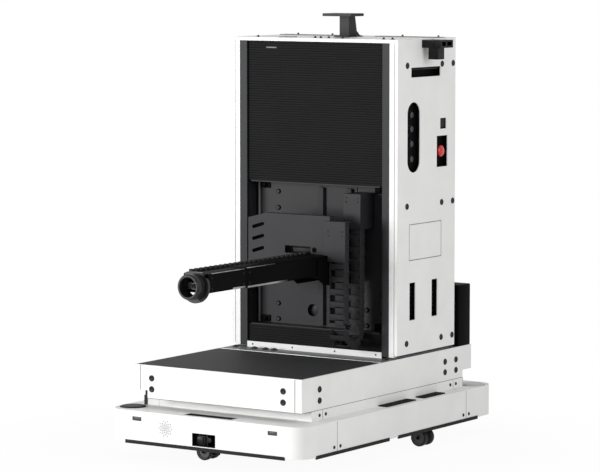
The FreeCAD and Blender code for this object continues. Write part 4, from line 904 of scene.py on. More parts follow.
# ------------------------------------------------------------------ arm
@dataclass
class NoseUnit:
    """Turned nose ring on its flange, with the camera that looks out through it.

    Attributes:
        lip: width of the nose's front chamfer.
        bore_wall: thickness of the ring.
        lens: radius of the camera's lens.
        screw_circle: diameter of the flange's screw circle.
    """

    lip: float = 4.0
    bore_wall: float = 10.0
    lens: float = 8.0
    screw_circle: float = 99.0

    def build(self) -> None:
        """Make the ring, the flange, its screws and the camera."""
        low, high = extent("nose_ring")
        axis = at((low.x + high.x) / 2, low.y, (low.z + high.z) / 2)
        outer, length = (high.x - low.x) / 2, high.y - low.y
        bore = outer - self.bore_wall
        back = Facing.REAR.vector()
        profile = [(bore + 1.2, 0.0), (outer - self.lip, 0.0), (outer - 1.2, self.lip * 0.6),
                   (outer, self.lip + 1.5), (outer, length * 0.62), (outer - 1.4, length * 0.62 + 1.4),
                   (outer - 1.4, length - 5), (outer, length - 3.6), (outer, length), (bore, length),
                   (bore, 1.2), (bore + 1.2, 0.0)]
        dress(turned("nose", profile, axis, back, 72), SATIN_BLACK, "arm", "black_paint", "nose_ring")
        self.flange(axis + back * length * MM, bore)
        self.camera()

    def flange(self, face: Vector, bore: float) -> None:
        """Make the round flange with its flat top and the screws in it.

        Args:
            face: centre of its front face.
            bore: radius of the hole through it.
        """
        low, high = extent("tip_flange")
        outer = (high.x - low.x) / 2
        depth = 12.0
        back = Facing.REAR.vector()
        disc = turned("nose_flange", [(bore, 0.0), (outer - 1.0, 0.0), (outer, 1.0), (outer, depth - 1.0),
                                      (outer - 1.0, depth), (bore, depth), (bore, 0.0)], face, back, 72)
        top = (high.z - (face.z / MM)) * MM
        flat = block("flat", face + Vector((-outer * MM, -0.01, top)),
                     face + Vector((outer * MM, 0.03, 0.08)), 0)
        notches = []
        for angle in (38, 142):
            a = math.radians(angle)
            spot = face + Vector((outer * math.cos(a), -2, outer * math.sin(a))) * MM
            notches.append(rod("notch", spot, back, 7.0, depth + 4, 0, 24))
        dress(carve(disc, [flat] + notches), SATIN_BLACK, "arm", "black_paint", "tip_flange")
        screw = face_to(disc_and_socket("flange_screw", 4.0, 2.6, 1.9), Facing.FRONT)
        moves = []
        for k in range(6):
            a = math.radians(60 * k)
            if math.sin(a) < 0.8 * top / (outer * MM):
                moves.append(face + Vector((math.cos(a), 0, math.sin(a))) * (self.screw_circle / 2 * MM))
        dress(spread("flange_screws", screw, moves), ZINC, "arm", "black_paint")

    def camera(self) -> None:
        """Make the centring camera behind the bore, with its crossbar and lens."""
        low, high = extent("tip_sensor")
        half = (high.z - low.z) / 2
        centre = at((low.x + high.x) / 2, low.y, (low.z + high.z) / 2)
        size = Vector((half, 0, half)) * MM
        depth = Vector((0, high.y - low.y - 6, 0)) * MM
        body = block("camera_body", centre - size, centre + size + depth, 2.0, 3)
        bar = slab("camera_bar", (low.x, high.x), (high.y - 6, high.y), (low.z, high.z), 1.0)
        dress(join("tip_camera", [body, bar]), GREY_COAT, "arm", "grey_paint", "tip_sensor")
        front = Facing.FRONT.vector()
        lens = self.lens
        barrel = turned("camera_lens", [(0, 1.5), (lens * 0.55, 2.2), (lens * 0.7, 3.0), (lens, 3.4),
                                        (lens, 0.0)], centre, front, 32)
        dress(barrel, DARK_LENS, "arm", "black_plastic")


@dataclass
class Beam:
    """Cantilever beam: two lengths with a joint collar, bright strips along the right edges that paint their
    highlights, and screws.

    Attributes:
        wall: wall of the tube.
        edge: width of the beam's corner chamfers.
        strip: width of the bright strips along the right edges, which paint highlights.
        seam: Y of the joint between the two lengths.
        step: how much slimmer the front length is, on each side.
        top_end: rear end of the upper strip.
        side_ends: front and rear end of the lower strip.
    """

    wall: float = 6.0
    edge: float = 5.0
    strip: float = 7.0
    seam: float = -572.0
    step: float = 2.0
    top_end: float = -400.0
    side_ends: tuple[float, float] = (-650.0, -330.0)

    def build(self) -> None:
        """Make the beam's lengths, strips and screws."""
        low, high = extent("arm_beam")
        seam, step = self.seam, self.step
        rear = self.tube("beam_rear", low.x, high.x, seam + 0.6, high.y, low.z, high.z)
        front = self.tube("beam_front", low.x + step, high.x - step, low.y, seam - 0.6, low.z + step,
                          high.z - step)
        collar = self.tube("beam_joint", low.x + step + 1, high.x - step - 1, seam - 8, seam + 8,
                           low.z + step + 1, high.z - step - 1)
        # The beam's near-black, nearly glossless coating paints the shade of its sides.
        dress(join("beam", [rear, front, collar]), SHADED_BLACK_COAT, "arm", "black_paint", "arm_beam")
        self.strips(low, high, seam)
        self.screws(low, high, seam)

    def tube(self, name: str, x0: float, x1: float, y0: float, y1: float, z0: float,
             z1: float) -> bpy.types.Object:
        """Make one open-ended length of square tube with chamfered edges.

        Args:
            name: name of the piece.
            x0: left side.
            x1: right side.
            y0: front end.
            y1: rear end.
            z0: underside.
            z1: top.

        Returns:
            The tube.
        """
        shell = slab(name, (x0, x1), (y0, y1), (z0, z1), 0)
        take(shell)
        bpy.ops.object.mode_set(mode="EDIT")
        bpy.ops.mesh.select_all(action="DESELECT")
        bpy.ops.object.mode_set(mode="OBJECT")
        for line in shell.data.edges:
            a, b = (shell.data.vertices[i].co for i in line.vertices)
            line.select = abs(a.y - b.y) > abs(a.x - b.x) + abs(a.z - b.z)
        bpy.ops.object.mode_set(mode="EDIT")
        bpy.ops.mesh.select_mode(type="EDGE")
        bpy.ops.mesh.bevel(offset=self.edge * MM, segments=3, profile=0.4)
        bpy.ops.object.mode_set(mode="OBJECT")
        hollow = slab("hollow", (x0 + self.wall, x1 - self.wall), (y0 - 1, y1 + 1),
                      (z0 + self.wall, z1 - self.wall), 0)
        carve(shell, [hollow])
        return soften(shell, 0.5, 1, 60)

    def strips(self, low: Vector, high: Vector, seam: float) -> None:
        """Lay the thin bright strips along the beam's edges, which paint the highlight streaks that these
        edges catch.

        Args:
            low: lowest corner of the beam.
            high: highest corner of the beam.
            seam: Y of the joint between its two lengths.
        """
        pieces = []
        for y0, y1, inset in ((low.y + 18, seam - 6, self.step), (seam + 6, self.top_end, 0.0)):
            pieces.append(slab("strip", (high.x - inset - self.strip, high.x - inset - 0.6), (y0, y1),
                               (high.z - inset - 1.2, high.z - inset + 0.3), 0.5))
        front, rear = self.side_ends
        for y0, y1, inset in ((front, seam - 6, self.step), (seam + 6, rear, 0.0)):
            pieces.append(slab("strip", (high.x - inset - 1.2, high.x - inset + 0.3), (y0, y1),
                               (low.z + inset + 0.6, low.z + inset + self.strip), 0.5))
        # The strips' bright metal is painted highlight along the beam's edges.
        dress(join("beam_highlight_strips", pieces), EDGE_HIGHLIGHT, "arm", "black_paint")

    def screws(self, low: Vector, high: Vector, seam: float) -> None:
        """Set the countersunk screws either side of the seam and at the tip.

        Args:
            low: lowest corner of the beam.
            high: highest corner of the beam.
            seam: Y of the joint.
        """
        screw = face_to(disc_and_socket("beam_screw", 3.2, 1.4, 1.6), Facing.RIGHT)
        moves = []
        for y, inset in ((seam + 16, 0.0), (seam - 16, self.step), (low.y + 16, self.step)):
            for z in (low.z + 16, high.z - 16):
                moves.append(at(high.x - inset, y, z))
        dress(spread("beam_screws_right", screw, moves), ZINC, "arm", "black_paint")


@dataclass
class CarrierRow:
    """Open cable carrier laid along the beam's top left edge.

    Attributes:
        pitch: distance between two crossbars.
        bar: width of a crossbar along the beam.
        roller: radius of its rounded edges.
        rail: width of the two side rails.
    """

    pitch: float = 28.0
    bar: float = 14.0
    roller: float = 3.4
    rail: float = 2.5

    def build(self) -> None:
        """Make the rails and the row of rounded crossbars."""
        low, high = extent("cable_carrier")
        count = int((high.y - low.y) / self.pitch)
        half, top = (high.x - low.x) / 2, high.z
        bar = block("carrier_bar", Vector((-half, -self.bar / 2, low.z - top)) * MM,
                    Vector((half, self.bar / 2, 0)) * MM, self.roller, 4)
        middle = (low.x + high.x) / 2
        bars = spread("carrier_bars", bar, [at(middle, low.y + (i + 0.5) * self.pitch, top)
                                            for i in range(count)])
        rails = [slab("carrier_rail", (x, x + self.rail), (low.y, high.y), (low.z + 0.4, low.z + self.rail),
                      0.8) for x in (low.x + 1.0, high.x - 1.0 - self.rail)]
        links = [slab("carrier_link", (low.x + 2, high.x - 2),
                      (low.y + (i + 0.2) * self.pitch, low.y + (i + 0.8) * self.pitch),
                      (low.z + 0.4, low.z + 2.2), 0.5) for i in range(count)]
        dress(join("carrier", [bars] + rails + links), NYLON, "arm", "chain_plastic", "cable_carrier")


# ------------------------------------------------------------------ running gear
@dataclass
class Caster:
    """Twin-wheel swivel caster.

    Attributes:
        corner: the caster's name in the frame.
        tread: thickness of the polyurethane tread.
        crown: radius of the tread's rounded shoulders.
        width: width of one wheel.
        head: radius of the swivel head.
        trail: distance of the wheels' axle behind the swivel axis.
        web: half the thickness of the web between the wheels.
    """

    corner: str
    tread: float = 6.0
    crown: float = 4.0
    width: float = 20.0
    head: float = 31.0
    trail: float = 32.0
    web: float = 9.5

    def build(self) -> None:
        """Make the wheels and the swivel fork."""
        self.wheels()
        self.fork()

    def wheels(self) -> None:
        """Turn both wheels: rounded tread on a dished hub."""
        node = "caster_wheels_" + self.corner
        low, high = extent(node)
        radius = (high.z - low.z) / 2
        middle = (low + high) / 2
        width, hub = self.width, radius - self.tread
        treads, hubs = [], []
        for y0 in (low.y, high.y - width):
            start = at(middle.x, y0, middle.z)
            c = self.crown
            profile = [(hub, 1.0), (radius - c, 0.0), (radius - 0.3 * c, 0.3 * c), (radius, c),
                       (radius, width - c), (radius - 0.3 * c, width - 0.3 * c), (radius - c, width),
                       (hub, width - 1.0)]
            treads.append(turned("tread", profile, start, Facing.REAR.vector(), 40))
            dish = [(5.1, 1.5), (9.0, 1.5), (10.0, 4.5), (hub - 4, 4.5), (hub - 2.5, 1.2), (hub, 1.2),
                    (hub, width - 1.2), (hub - 2.5, width - 1.2), (hub - 4, width - 4.5), (10.0, width - 4.5),
                    (9.0, width - 1.5), (5.1, width - 1.5)]
            hubs.append(turned("hub", dish, start, Facing.REAR.vector(), 32))
        dress(join("treads_" + self.corner, treads), POLYURETHANE, node, "wheel_tyre", node)
        dress(join("hubs_" + self.corner, hubs), HUB, node, "wheel_tyre")

    def fork(self) -> None:
        """Make the swivel head with its ball race, the web and the axle with end caps."""
        node = "caster_fork_" + self.corner
        low, high = extent(node)
        wheel_low, wheel_high = extent("caster_wheels_" + self.corner)
        axle = (wheel_low + wheel_high) / 2
        middle_y = axle.y
        head_r = self.head
        sign = 1 if axle.x > (low.x + high.x) / 2 else -1
        swivel_x = axle.x - sign * self.trail
        up = Facing.UP.vector()
        top = high.z - 10.5
        race = turned("race", [(0.1, 0.0), (head_r - 5, 0.0), (head_r - 1, 1.5), (head_r, 3.5), (head_r, 6.5),
                               (head_r - 1.5, 8.0), (head_r - 6, 8.0), (head_r - 6, 8.6), (12.0, 8.6),
                               (12.0, 10.0), (0.1, 10.0)], at(swivel_x, middle_y, top - 8.5), up, 40)
        stem = rod("stem", at(swivel_x, middle_y, top), up, 8.0, high.z - top, 0.8, 24)
        half = self.web
        xs = (swivel_x - sign * 12, axle.x + sign * 9)
        web = slab("web", xs, (middle_y - half, middle_y + half), (axle.z - 14, top - 6), 3.0, 3)
        rod_half = (high.y - low.y) / 2
        if rod_half > head_r + 6:
            rod_half = head_r + 1.5
        shaft = rod("axle", at(axle.x, middle_y - rod_half, axle.z), Facing.REAR.vector(), 5.0, 2 * rod_half,
                    0.8, 20)
        nuts = [rod("nut", at(axle.x, middle_y + s * (rod_half - 3.0), axle.z), Vector((0, s, 0)), 7.0, 3.0,
                    0.6, 6) for s in (-1, 1)]
        dress(join("fork_" + self.corner, [race, stem, web, shaft] + nuts), ZINC, node, "rail_steel", node)


@dataclass
class DriveWheel:
    """Driven wheel under the chassis: grooved tyre on an aluminium rim.

    Attributes:
        side: right or left, as the frame spells it.
        tyre: thickness of the tyre.
        grooves: number of grooves round the tyre.
    """

    side: str
    tyre: float = 12.0
    grooves: int = 3

    def build(self) -> None:
        """Turn the tyre and the rim."""
        node = "drive_wheel_" + self.side
        low, high = extent(node)
        radius, width = (high.z - low.z) / 2, high.x - low.x
        start = at(low.x, (low.y + high.y) / 2, radius)
        rim = radius - self.tyre
        profile = [(rim, 1.0), (radius - 2.5, 0.0), (radius, 2.5)]
        for k in range(self.grooves):
            x = width * (k + 1) / (self.grooves + 1)
            profile += [(radius, x - 2.0), (radius - 2.0, x - 1.2), (radius - 2.0, x + 1.2),
                        (radius, x + 2.0)]
        profile += [(radius, width - 2.5), (radius - 2.5, width), (rim, width - 1.0)]
        axis = Facing.RIGHT.vector()
        dress(turned("tyre_" + self.side, profile, start, axis, 56), POLYURETHANE, node, "wheel_tyre", node)
        dish = [(12.2, 4.0), (24.0, 4.0), (26.0, 12.0), (rim - 6, 12.0), (rim - 4, 2.0), (rim, 2.0),
                (rim, width - 2.0), (rim - 4, width - 2.0), (rim - 6, width - 12.0), (26.0, width - 12.0),
                (24.0, width - 4.0), (12.2, width - 4.0)]
        dress(turned("rim_" + self.side, dish, start, axis, 48), ANODISED, node, "wheel_tyre")


# ------------------------------------------------------------------ sensors
@dataclass
class Scanner:
    """Safety laser scanner in a corner of the chassis.

    Attributes:
        right_rear: whether this is the one at the rear right; the other is at the front left.
        cap: height of the cap.
        window: height of the window band under the cap.
        radius: radius of the body.
        ribs: number of upright ribs round the body.
    """

    right_rear: bool
    cap: float = 14.0
    window: float = 24.0
    radius: float = 45.0
    ribs: int = 24

    def build(self) -> None:
        """Turn the body, the smoked window and the cap."""
        low, high = extent("corner_scanners")
        radius = self.radius
        x = high.x - radius if self.right_rear else low.x + radius
        y = high.y - radius if self.right_rear else low.y + radius
        foot = at(x, y, low.z)
        height = high.z - low.z
        up = Facing.UP.vector()
        suffix = "rear" if self.right_rear else "front"
        bottom = height - self.cap - self.window
        body = turned("scanner_body", [(0.1, 0.0), (radius - 3, 0.0), (radius, 3.0), (radius, bottom - 3),
                                       (radius - 2.5, bottom), (0.1, bottom)], foot, up, 56)
        cap = turned("scanner_cap_" + suffix, [(0.1, height - self.cap), (radius - 2, height - self.cap),
                                               (radius, height - self.cap + 2), (radius, height - 4.5),
                                               (radius - 1.3, height - 1.6), (radius - 5, height - 0.3),
                                               (radius - 9, height), (radius - 9.5, height - 0.8),
                                               (radius - 10.5, height - 0.8), (radius - 11, height),
                                               (0.1, height)], foot, up, 56)
        pattern = block("rib", Vector((-1.2, radius - 1.5, 4)) * MM,
                        Vector((1.2, radius - 0.2, bottom - 5)) * MM, 0.4)
        ring = []
        for k in range(self.ribs):
            rib = copy_to(pattern, Vector((0, 0, 0)))
            rib.rotation_euler = (0, 0, math.tau * k / self.ribs)
            rib.location = foot
            take(rib)
            bpy.ops.object.transform_apply(location=True, rotation=True, scale=False)
            ring.append(rib)
        bpy.data.objects.remove(pattern, do_unlink=True)
        dress(join("scanner_body_" + suffix, [body] + ring), NYLON, "chassis", "black_plastic",
              "corner_scanners")
        # The rear cap's pale grey is painted light; the front cap keeps the black nylon.
        dress(cap, LIT_SCANNER_CAP if self.right_rear else NYLON, "chassis", "black_plastic")
        pane = turned("scanner_window_" + suffix, [(radius - 10, bottom), (radius - 6, bottom + 1),
                                                   (radius - 4, height - self.cap - 1),
                                                   (radius - 9, height - self.cap)], foot, up, 56)
        dress(pane, DARK_LENS, "chassis", "sensor_glass")


@dataclass
class FrontPorts:
    """Loudspeaker dots, sensor panes and the sensor recess in each end cover.

    Attributes:
        rays: number of rays of the loudspeaker's pattern.
        rings: number of dots along a ray.
        dot: radius of a dot.
        spread_radius: radius of the whole pattern.
        centre: X and Z of the pattern's middle, at the front.
        recess_size: width, depth and height of the sensor recess.
        recess_z: height of its middle.
        liner: wall of its liner.
        slot: X, Z, half width and half height of the sensor slots.
    """

    rays: int = 10
    rings: int = 4
    dot: float = 1.6
    spread_radius: float = 27.0
    centre: tuple[float, float] = (-160.0, 123.0)
    recess_size: Point = (96.0, 66.0, 44.0)
    recess_z: float = 97.0
    liner: float = 2.0
    slot: tuple[float, float, float, float] = (281.0, 147.0, 19.0, 7.0)

    def build(self) -> None:
        """Fit the ports of both ends."""
        low, high = extent("end_covers")
        for facing, face, sign in ((Facing.FRONT, low.y, 1), (Facing.REAR, high.y, -1)):
            self.speaker(facing, face, sign)
            self.recess(facing, face, sign)
        self.panes()

    def speaker(self, facing: Facing, face: float, sign: int) -> None:
        """Punch the loudspeaker's rays of dots, as shallow dark cups.

        Args:
            facing: where the cover looks.
            face: Y of its outer face.
            sign: 1 at the front, -1 at the rear, which is the front turned round.
        """
        cup = turned("cup", [(0.0, 0.05), (self.dot * 0.8, 0.05), (self.dot, 0.5), (self.dot + 0.35, 0.5),
                             (self.dot + 0.45, 0.0)], Vector((0, 0, 0)), Facing.UP.vector(), 12)
        cup = face_to(cup, facing)
        x, z = self.centre
        moves = [at(sign * x, face, z)]
        for ray in range(self.rays):
            for ring in range(1, self.rings + 1):
                if ring == 1 and ray % 2:
                    continue
                angle = math.tau * (ray + 0.5 * (ring % 2)) / self.rays
                reach = self.spread_radius * ring / self.rings
                moves.append(at(sign * (x + reach * math.cos(angle)), face, z + reach * math.sin(angle)))
        name = "speaker_front" if sign > 0 else "speaker_rear"
        dress(spread(name, cup, moves), PORT_BLACK, "chassis", "black_plastic")

    def recess(self, facing: Facing, face: float, sign: int) -> None:
        """Fit the recess with its liner, the angled bracket and the range sensor.

        Args:
            facing: where the cover looks.
            face: Y of its outer face.
            sign: 1 at the front, -1 at the rear.
        """
        width, depth, height = self.recess_size
        w, h, t, z = width / 2, height / 2, self.liner, self.recess_z

        def put(x0: float, x1: float, d0: float, d1: float, z0: float, z1: float, name: str,
                bevel: float = 0.6) -> bpy.types.Object:
            """Model a box of the recess.

            Args:
                x0: first end across, as at the front.
                x1: second end across.
                d0: depth of its near face behind the cover's face.
                d1: depth of its far face.
                z0: its foot.
                z1: its head.
                name: name of the piece.
                bevel: edge width.

            Returns:
                The new object.
            """
            xs = (sign * x0, sign * x1)
            ys = (face + sign * d0, face + sign * d1)
            return slab(name, xs, ys, (z0, z1), bevel)

        walls = [put(-w, w, 0.4, depth, z + h - t, z + h, "roof"),
                 put(-w, w, 0.4, depth, z - h, z - h + t, "floor"),
                 put(-w, -w + t, 0.4, depth, z - h, z + h, "wall"),
                 put(w - t, w, 0.4, depth, z - h, z + h, "wall"),
                 put(-w, w, depth - t, depth, z - h, z + h, "back")]
        suffix = "front" if sign > 0 else "rear"
        dress(join("recess_liner_" + suffix, walls), PORT_BLACK, "chassis", "black_plastic", "recess_sensors")
        sensor = put(-w + 4, -4, 16, 46, z - h + t, z + h - 9, "range_sensor", 2.0)
        nose = put(-w + 8, -10, 12.5, 17, z - h + 8, z + h - 14, "recess_window_" + suffix, 1.0)
        bracket = put(-2, 4, 20, 60, z - h + t, z + h - t, "bracket_web")
        foot = put(-2, w - 12, 56, 60, z - h + t, z + h - t, "bracket_foot")
        lens = rod("range_lens", at(sign * 14, face + sign * 14, z), facing.vector() * -1, 9.0, 30.0, 1.2, 32)
        dress(join("recess_sensor_" + suffix, [sensor, bracket, foot, lens]), NYLON, "chassis",
              "black_plastic")
        dress(nose, DARK_LENS, "chassis", "sensor_glass")

    def panes(self) -> None:
        """Set a smoked pane with a thin black bezel in each of the four slots."""
        low, high = extent("end_covers")
        place, z, w, h = self.slot
        panes, bezels = [], []
        for face, sign in ((low.y, 1), (high.y, -1)):
            for side in (-1, 1):
                x = side * place
                ys = (face + sign * 1.2, face + sign * 4.0)
                panes.append(slab("pane", (x - w + 1, x + w - 1), ys, (z - h + 1, z + h - 1), 1.0))
                outer = slab("bezel", (x - w, x + w),
                             (sorted((face + sign * 0.2, face + sign * 3))[0],
                              sorted((face + sign * 0.2, face + sign * 3))[1]), (z - h, z + h), 0.4)
                inner = slab("bezel_hole", (x - w + 1.6, x + w - 1.6), (face - 5, face + 5),
                             (z - h + 1.6, z + h - 1.6), 0)
                bezels.append(carve(outer, [inner]))
        dress(join("port_panes", panes), GREY_PANE, "chassis", "sensor_glass", "sensor_windows")
        dress(join("port_bezels", bezels), NYLON, "chassis", "black_plastic")


# ------------------------------------------------------------------ operator side
@dataclass
class Controls:
    """Sunk tray with the push buttons, and the emergency stop in its tray.

    Attributes:
        ring: width of the metal ring round each push button.
        skirt: radius of the emergency stop's neck.
        cap: height of a button's cap.
    """

    ring: float = 2.6
    skirt: float = 14.0
    cap: float = 5.0

    def build(self) -> None:
        """Make the buttons, their rings and the emergency stop."""
        right = Facing.RIGHT.vector()
        rings = []
        for index in range(1, 5):
            node = f"push_button_{index}"
            low, high = extent(node)
            y, z = (low.y + high.y) / 2, (low.z + high.z) / 2
            radius = (high.z - low.z) / 2
            face = high.x - self.cap
            profile = [(0.1, -7.0), (radius - 2.4, -7.0), (radius - 2.4, 0.0), (radius - 0.6, 0.0),
                       (radius, 0.8), (radius, 3.4), (radius - 1.2, 4.8), (radius - 3, 5.0),
                       (radius - 5, 4.3), (0.0, 4.0)]
            cap = turned("button_cap_" + str(index), profile, at(face, y, z), right, 40)
            dress(cap, GLOSS_CAP, node, "button_plastic", node)
            floor = at(face - 3.0, y, z)
            rings.append(turned("button_ring", [(radius + 0.4, 0.0), (radius + self.ring, 0.0),
                                                (radius + self.ring, 1.4), (radius + self.ring - 0.8, 2.2),
                                                (radius + 0.4, 2.2), (radius + 0.4, 0.0)], floor, right, 40))
        dress(join("button_rings", rings), ZINC, "chassis", "black_plastic")
        self.emergency_stop()

    def emergency_stop(self) -> None:
        """Turn the red mushroom head with its grip ridge and the collar below it."""
        low, high = extent("estop_button")
        centre = at(high.x, (low.y + high.y) / 2, (low.z + high.z) / 2)
        radius = (high.z - low.z) / 2
        inward = Facing.LEFT.vector()
        profile = [(0.0, 0.0), (radius * 0.4, 0.5), (radius * 0.72, 1.8), (radius * 0.9, 3.8), (radius, 6.5),
                   (radius, 9.0), (radius * 0.94, 10.5), (radius * 0.94, 11.4), (radius * 0.94, 13.6),
                   (self.skirt + 4.0, 13.6), (self.skirt + 4.0, 9.0), (self.skirt * 0.62, 9.0),
                   (self.skirt * 0.62, 23.0), (0.1, 23.0)]
        dress(turned("stop_head", profile, centre, inward, 56), RED_CAP, "estop_button", "red_plastic",
              "estop_button")
        tray_low, _ = extent("estop_panel")
        floor = Vector((at(tray_low.x + 2.0, 0, 0).x, centre.y, centre.z))
        collar = turned("stop_collar", [(self.skirt - 4, 0.0), (self.skirt + 3, 0.0), (self.skirt + 3, 1.8),
                                        (self.skirt + 1.5, 3.0), (self.skirt - 4, 3.0),
                                        (self.skirt - 4, 0.0)], floor, Facing.RIGHT.vector(), 48)
        dress(collar, ZINC, "chassis", "black_plastic")


@dataclass
class BareField:
    """Thin rounded frame round the bare field on the operator's side.

    Attributes:
        width: width of the field.
        height: height of the field.
        line: width of the frame's line.
        centre: Y and Z of the field's middle.
    """

    width: float = 216.0
    height: float = 128.0
    line: float = 2.2
    centre: tuple[float, float] = (227.0, 725.0)

    def build(self) -> None:
        """Lay the frame flush in the panel."""
        _, high = extent("tower_panels")
        x, (y, z) = high.x, self.centre
        w, h = self.width / 2, self.height / 2
        plate = slab("field_frame", (x - 1.0, x - 0.15), (y - w, y + w), (z - h, z + h), 0)
        inner = slab("field_hole", (x - 3, x + 3), (y - w + self.line, y + w - self.line),
                     (z - h + self.line, z + h - self.line), 0)
        dress(carve(plate, [inner]), GREY_COAT, "chassis", "grey_paint")


# ------------------------------------------------------------------ carriage and arm sheets
@dataclass
class CarriageFace:
    """Bolts, slits and brackets on the carriage plate.

    Attributes:
        bolt: radius of the plate bolts.
        bolt_x: distance of the bolt columns from the middle.
        bolt_z: heights of the bolts.
        face: Y of the plate's front.
        hole: X and Z of the round hole.
    """

    bolt: float = 9.0
    bolt_x: float = 188.0
    bolt_z: tuple[float, ...] = (424.0, 480.0, 825.0, 883.0)
    face: float = 100.0
    hole: tuple[float, float] = (-41.0, 464.0)

    def build(self) -> None:
        """Fit the plate's details."""
        low, high = extent("carriage_plate")
        face, (hole_x, hole_z) = self.face, self.hole
        bolt = face_to(disc_and_socket("plate_bolt", self.bolt, 5.0, 4.2), Facing.FRONT)
        spots = [at(-self.bolt_x, face, z) for z in self.bolt_z]
        spots += [at(self.bolt_x, face, z) for z in self.bolt_z if z < 760]
        spots += [at(256, face, z) for z in (470.0, 535.0)]
        dress(spread("plate_bolts", bolt, spots), BLACK_BOLT, "carriage", "black_paint")
        slits = [slab("slit", (x - 1.5, x + 1.5), (face - 1.0, face + 1), (z, z + 14), 0.4)
                 for x in (-2.0, 147.0) for z in (low.z + 12, high.z - 26)]
        dress(join("plate_slits", slits), PORT_BLACK, "carriage", "black_paint")
        self.corners(low, high, face)
        backing = rod("hole_backing", at(hole_x, face + 15, hole_z), Facing.REAR.vector(), 26.0, 3.0, 0.6, 40)
        sleeve = turned("hole_sleeve", [(22.4, 0.0), (23.6, 0.0), (23.6, 11.0), (22.4, 11.0), (22.4, 0.0)],
                        at(hole_x, face + 4, hole_z), Facing.REAR.vector(), 40)
        dress(backing, BLACK_COAT, "carriage", "black_paint")
        dress(sleeve, PORT_BLACK, "carriage", "black_paint")

    def corners(self, low: Vector, high: Vector, face: float) -> None:
        """Fit a bellows clamp at each corner of the plate and the bar along its left edge.

        Args:
            low: lowest corner of the plate.
            high: highest corner of the plate.
            face: Y of the plate's front.
        """
        pieces = []
        for side in (-1, 1):
            for foot, head in ((low.z + 5, low.z + 30), (high.z - 30, high.z - 5)):
                xs = (side * 262, side * 222)
                pieces.append(slab("clamp", xs, (face - 3, face), (foot, head), 0.8))
                xs = (side * 250, side * 238)
                pieces.append(slab("clamp_nose", xs, (face - 12, face - 3), (foot + 6, head - 6), 1.0))
        dress(join("bellows_clamps", pieces), SHADED_BLACK_COAT, "carriage", "black_paint")
        strip = slab("plate_edge_bar", (-270.5, -263.5), (face - 9, face - 0.5), (low.z + 6, high.z - 6), 0.8)
        dress(strip, GREY_COAT, "carriage", "grey_paint")


@dataclass
class ArmSheets:
    """Screws of the arm's cover and of the chain brackets, and what shows in the cover's window.

    Attributes:
        screw: radius of the bracket screws.
    """

    screw: float = 3.0

    def build(self) -> None:
        """Fit the screws, the window's guide and the hole's grommet."""
        box_low, _ = extent("chain_box")
        for name, body, xs, y, zs in (("low_bracket_screws", "arm", (149.0, 207.0), -92.5, (772.0, 757.0)),
                                      ("box_screws", "carriage", (160.0, 208.0), box_low.y + 2.0,
                                       (868.0, 882.0))):
            small = face_to(disc_and_socket("small_screw", self.screw, 1.8, 1.4), Facing.FRONT)
            dress(spread(name, small, [at(x, y, z) for x in xs for z in zs]), ZINC, body, "black_paint")
        cover_low, cover_high = extent("arm_cover")
        flange = face_to(disc_and_socket("cover_screw", 4.0, 2.0, 1.9), Facing.UP)
        spots = [at(x, cover_low.y + 16, cover_high.z) for x in (-80.0, 20.0, 118.0)]
        dress(spread("cover_top_screws", flange, spots), ZINC, "arm", "black_paint")
        guide = slab("window_guide", (-14, 62), (-66, -60), (688, 705), 0.8)
        dress(guide, NYLON, "arm", "black_plastic")
        grommet = turned("hole_grommet", [(4.6, 0.0), (8.6, 0.0), (9.4, 1.0), (8.6, 1.8), (5.4, 1.8),
                                          (4.6, 0.0)], at(85, -80, 702), Facing.FRONT.vector(), 32)
        dress(grommet, BLACK_BOLT, "arm", "black_plastic")


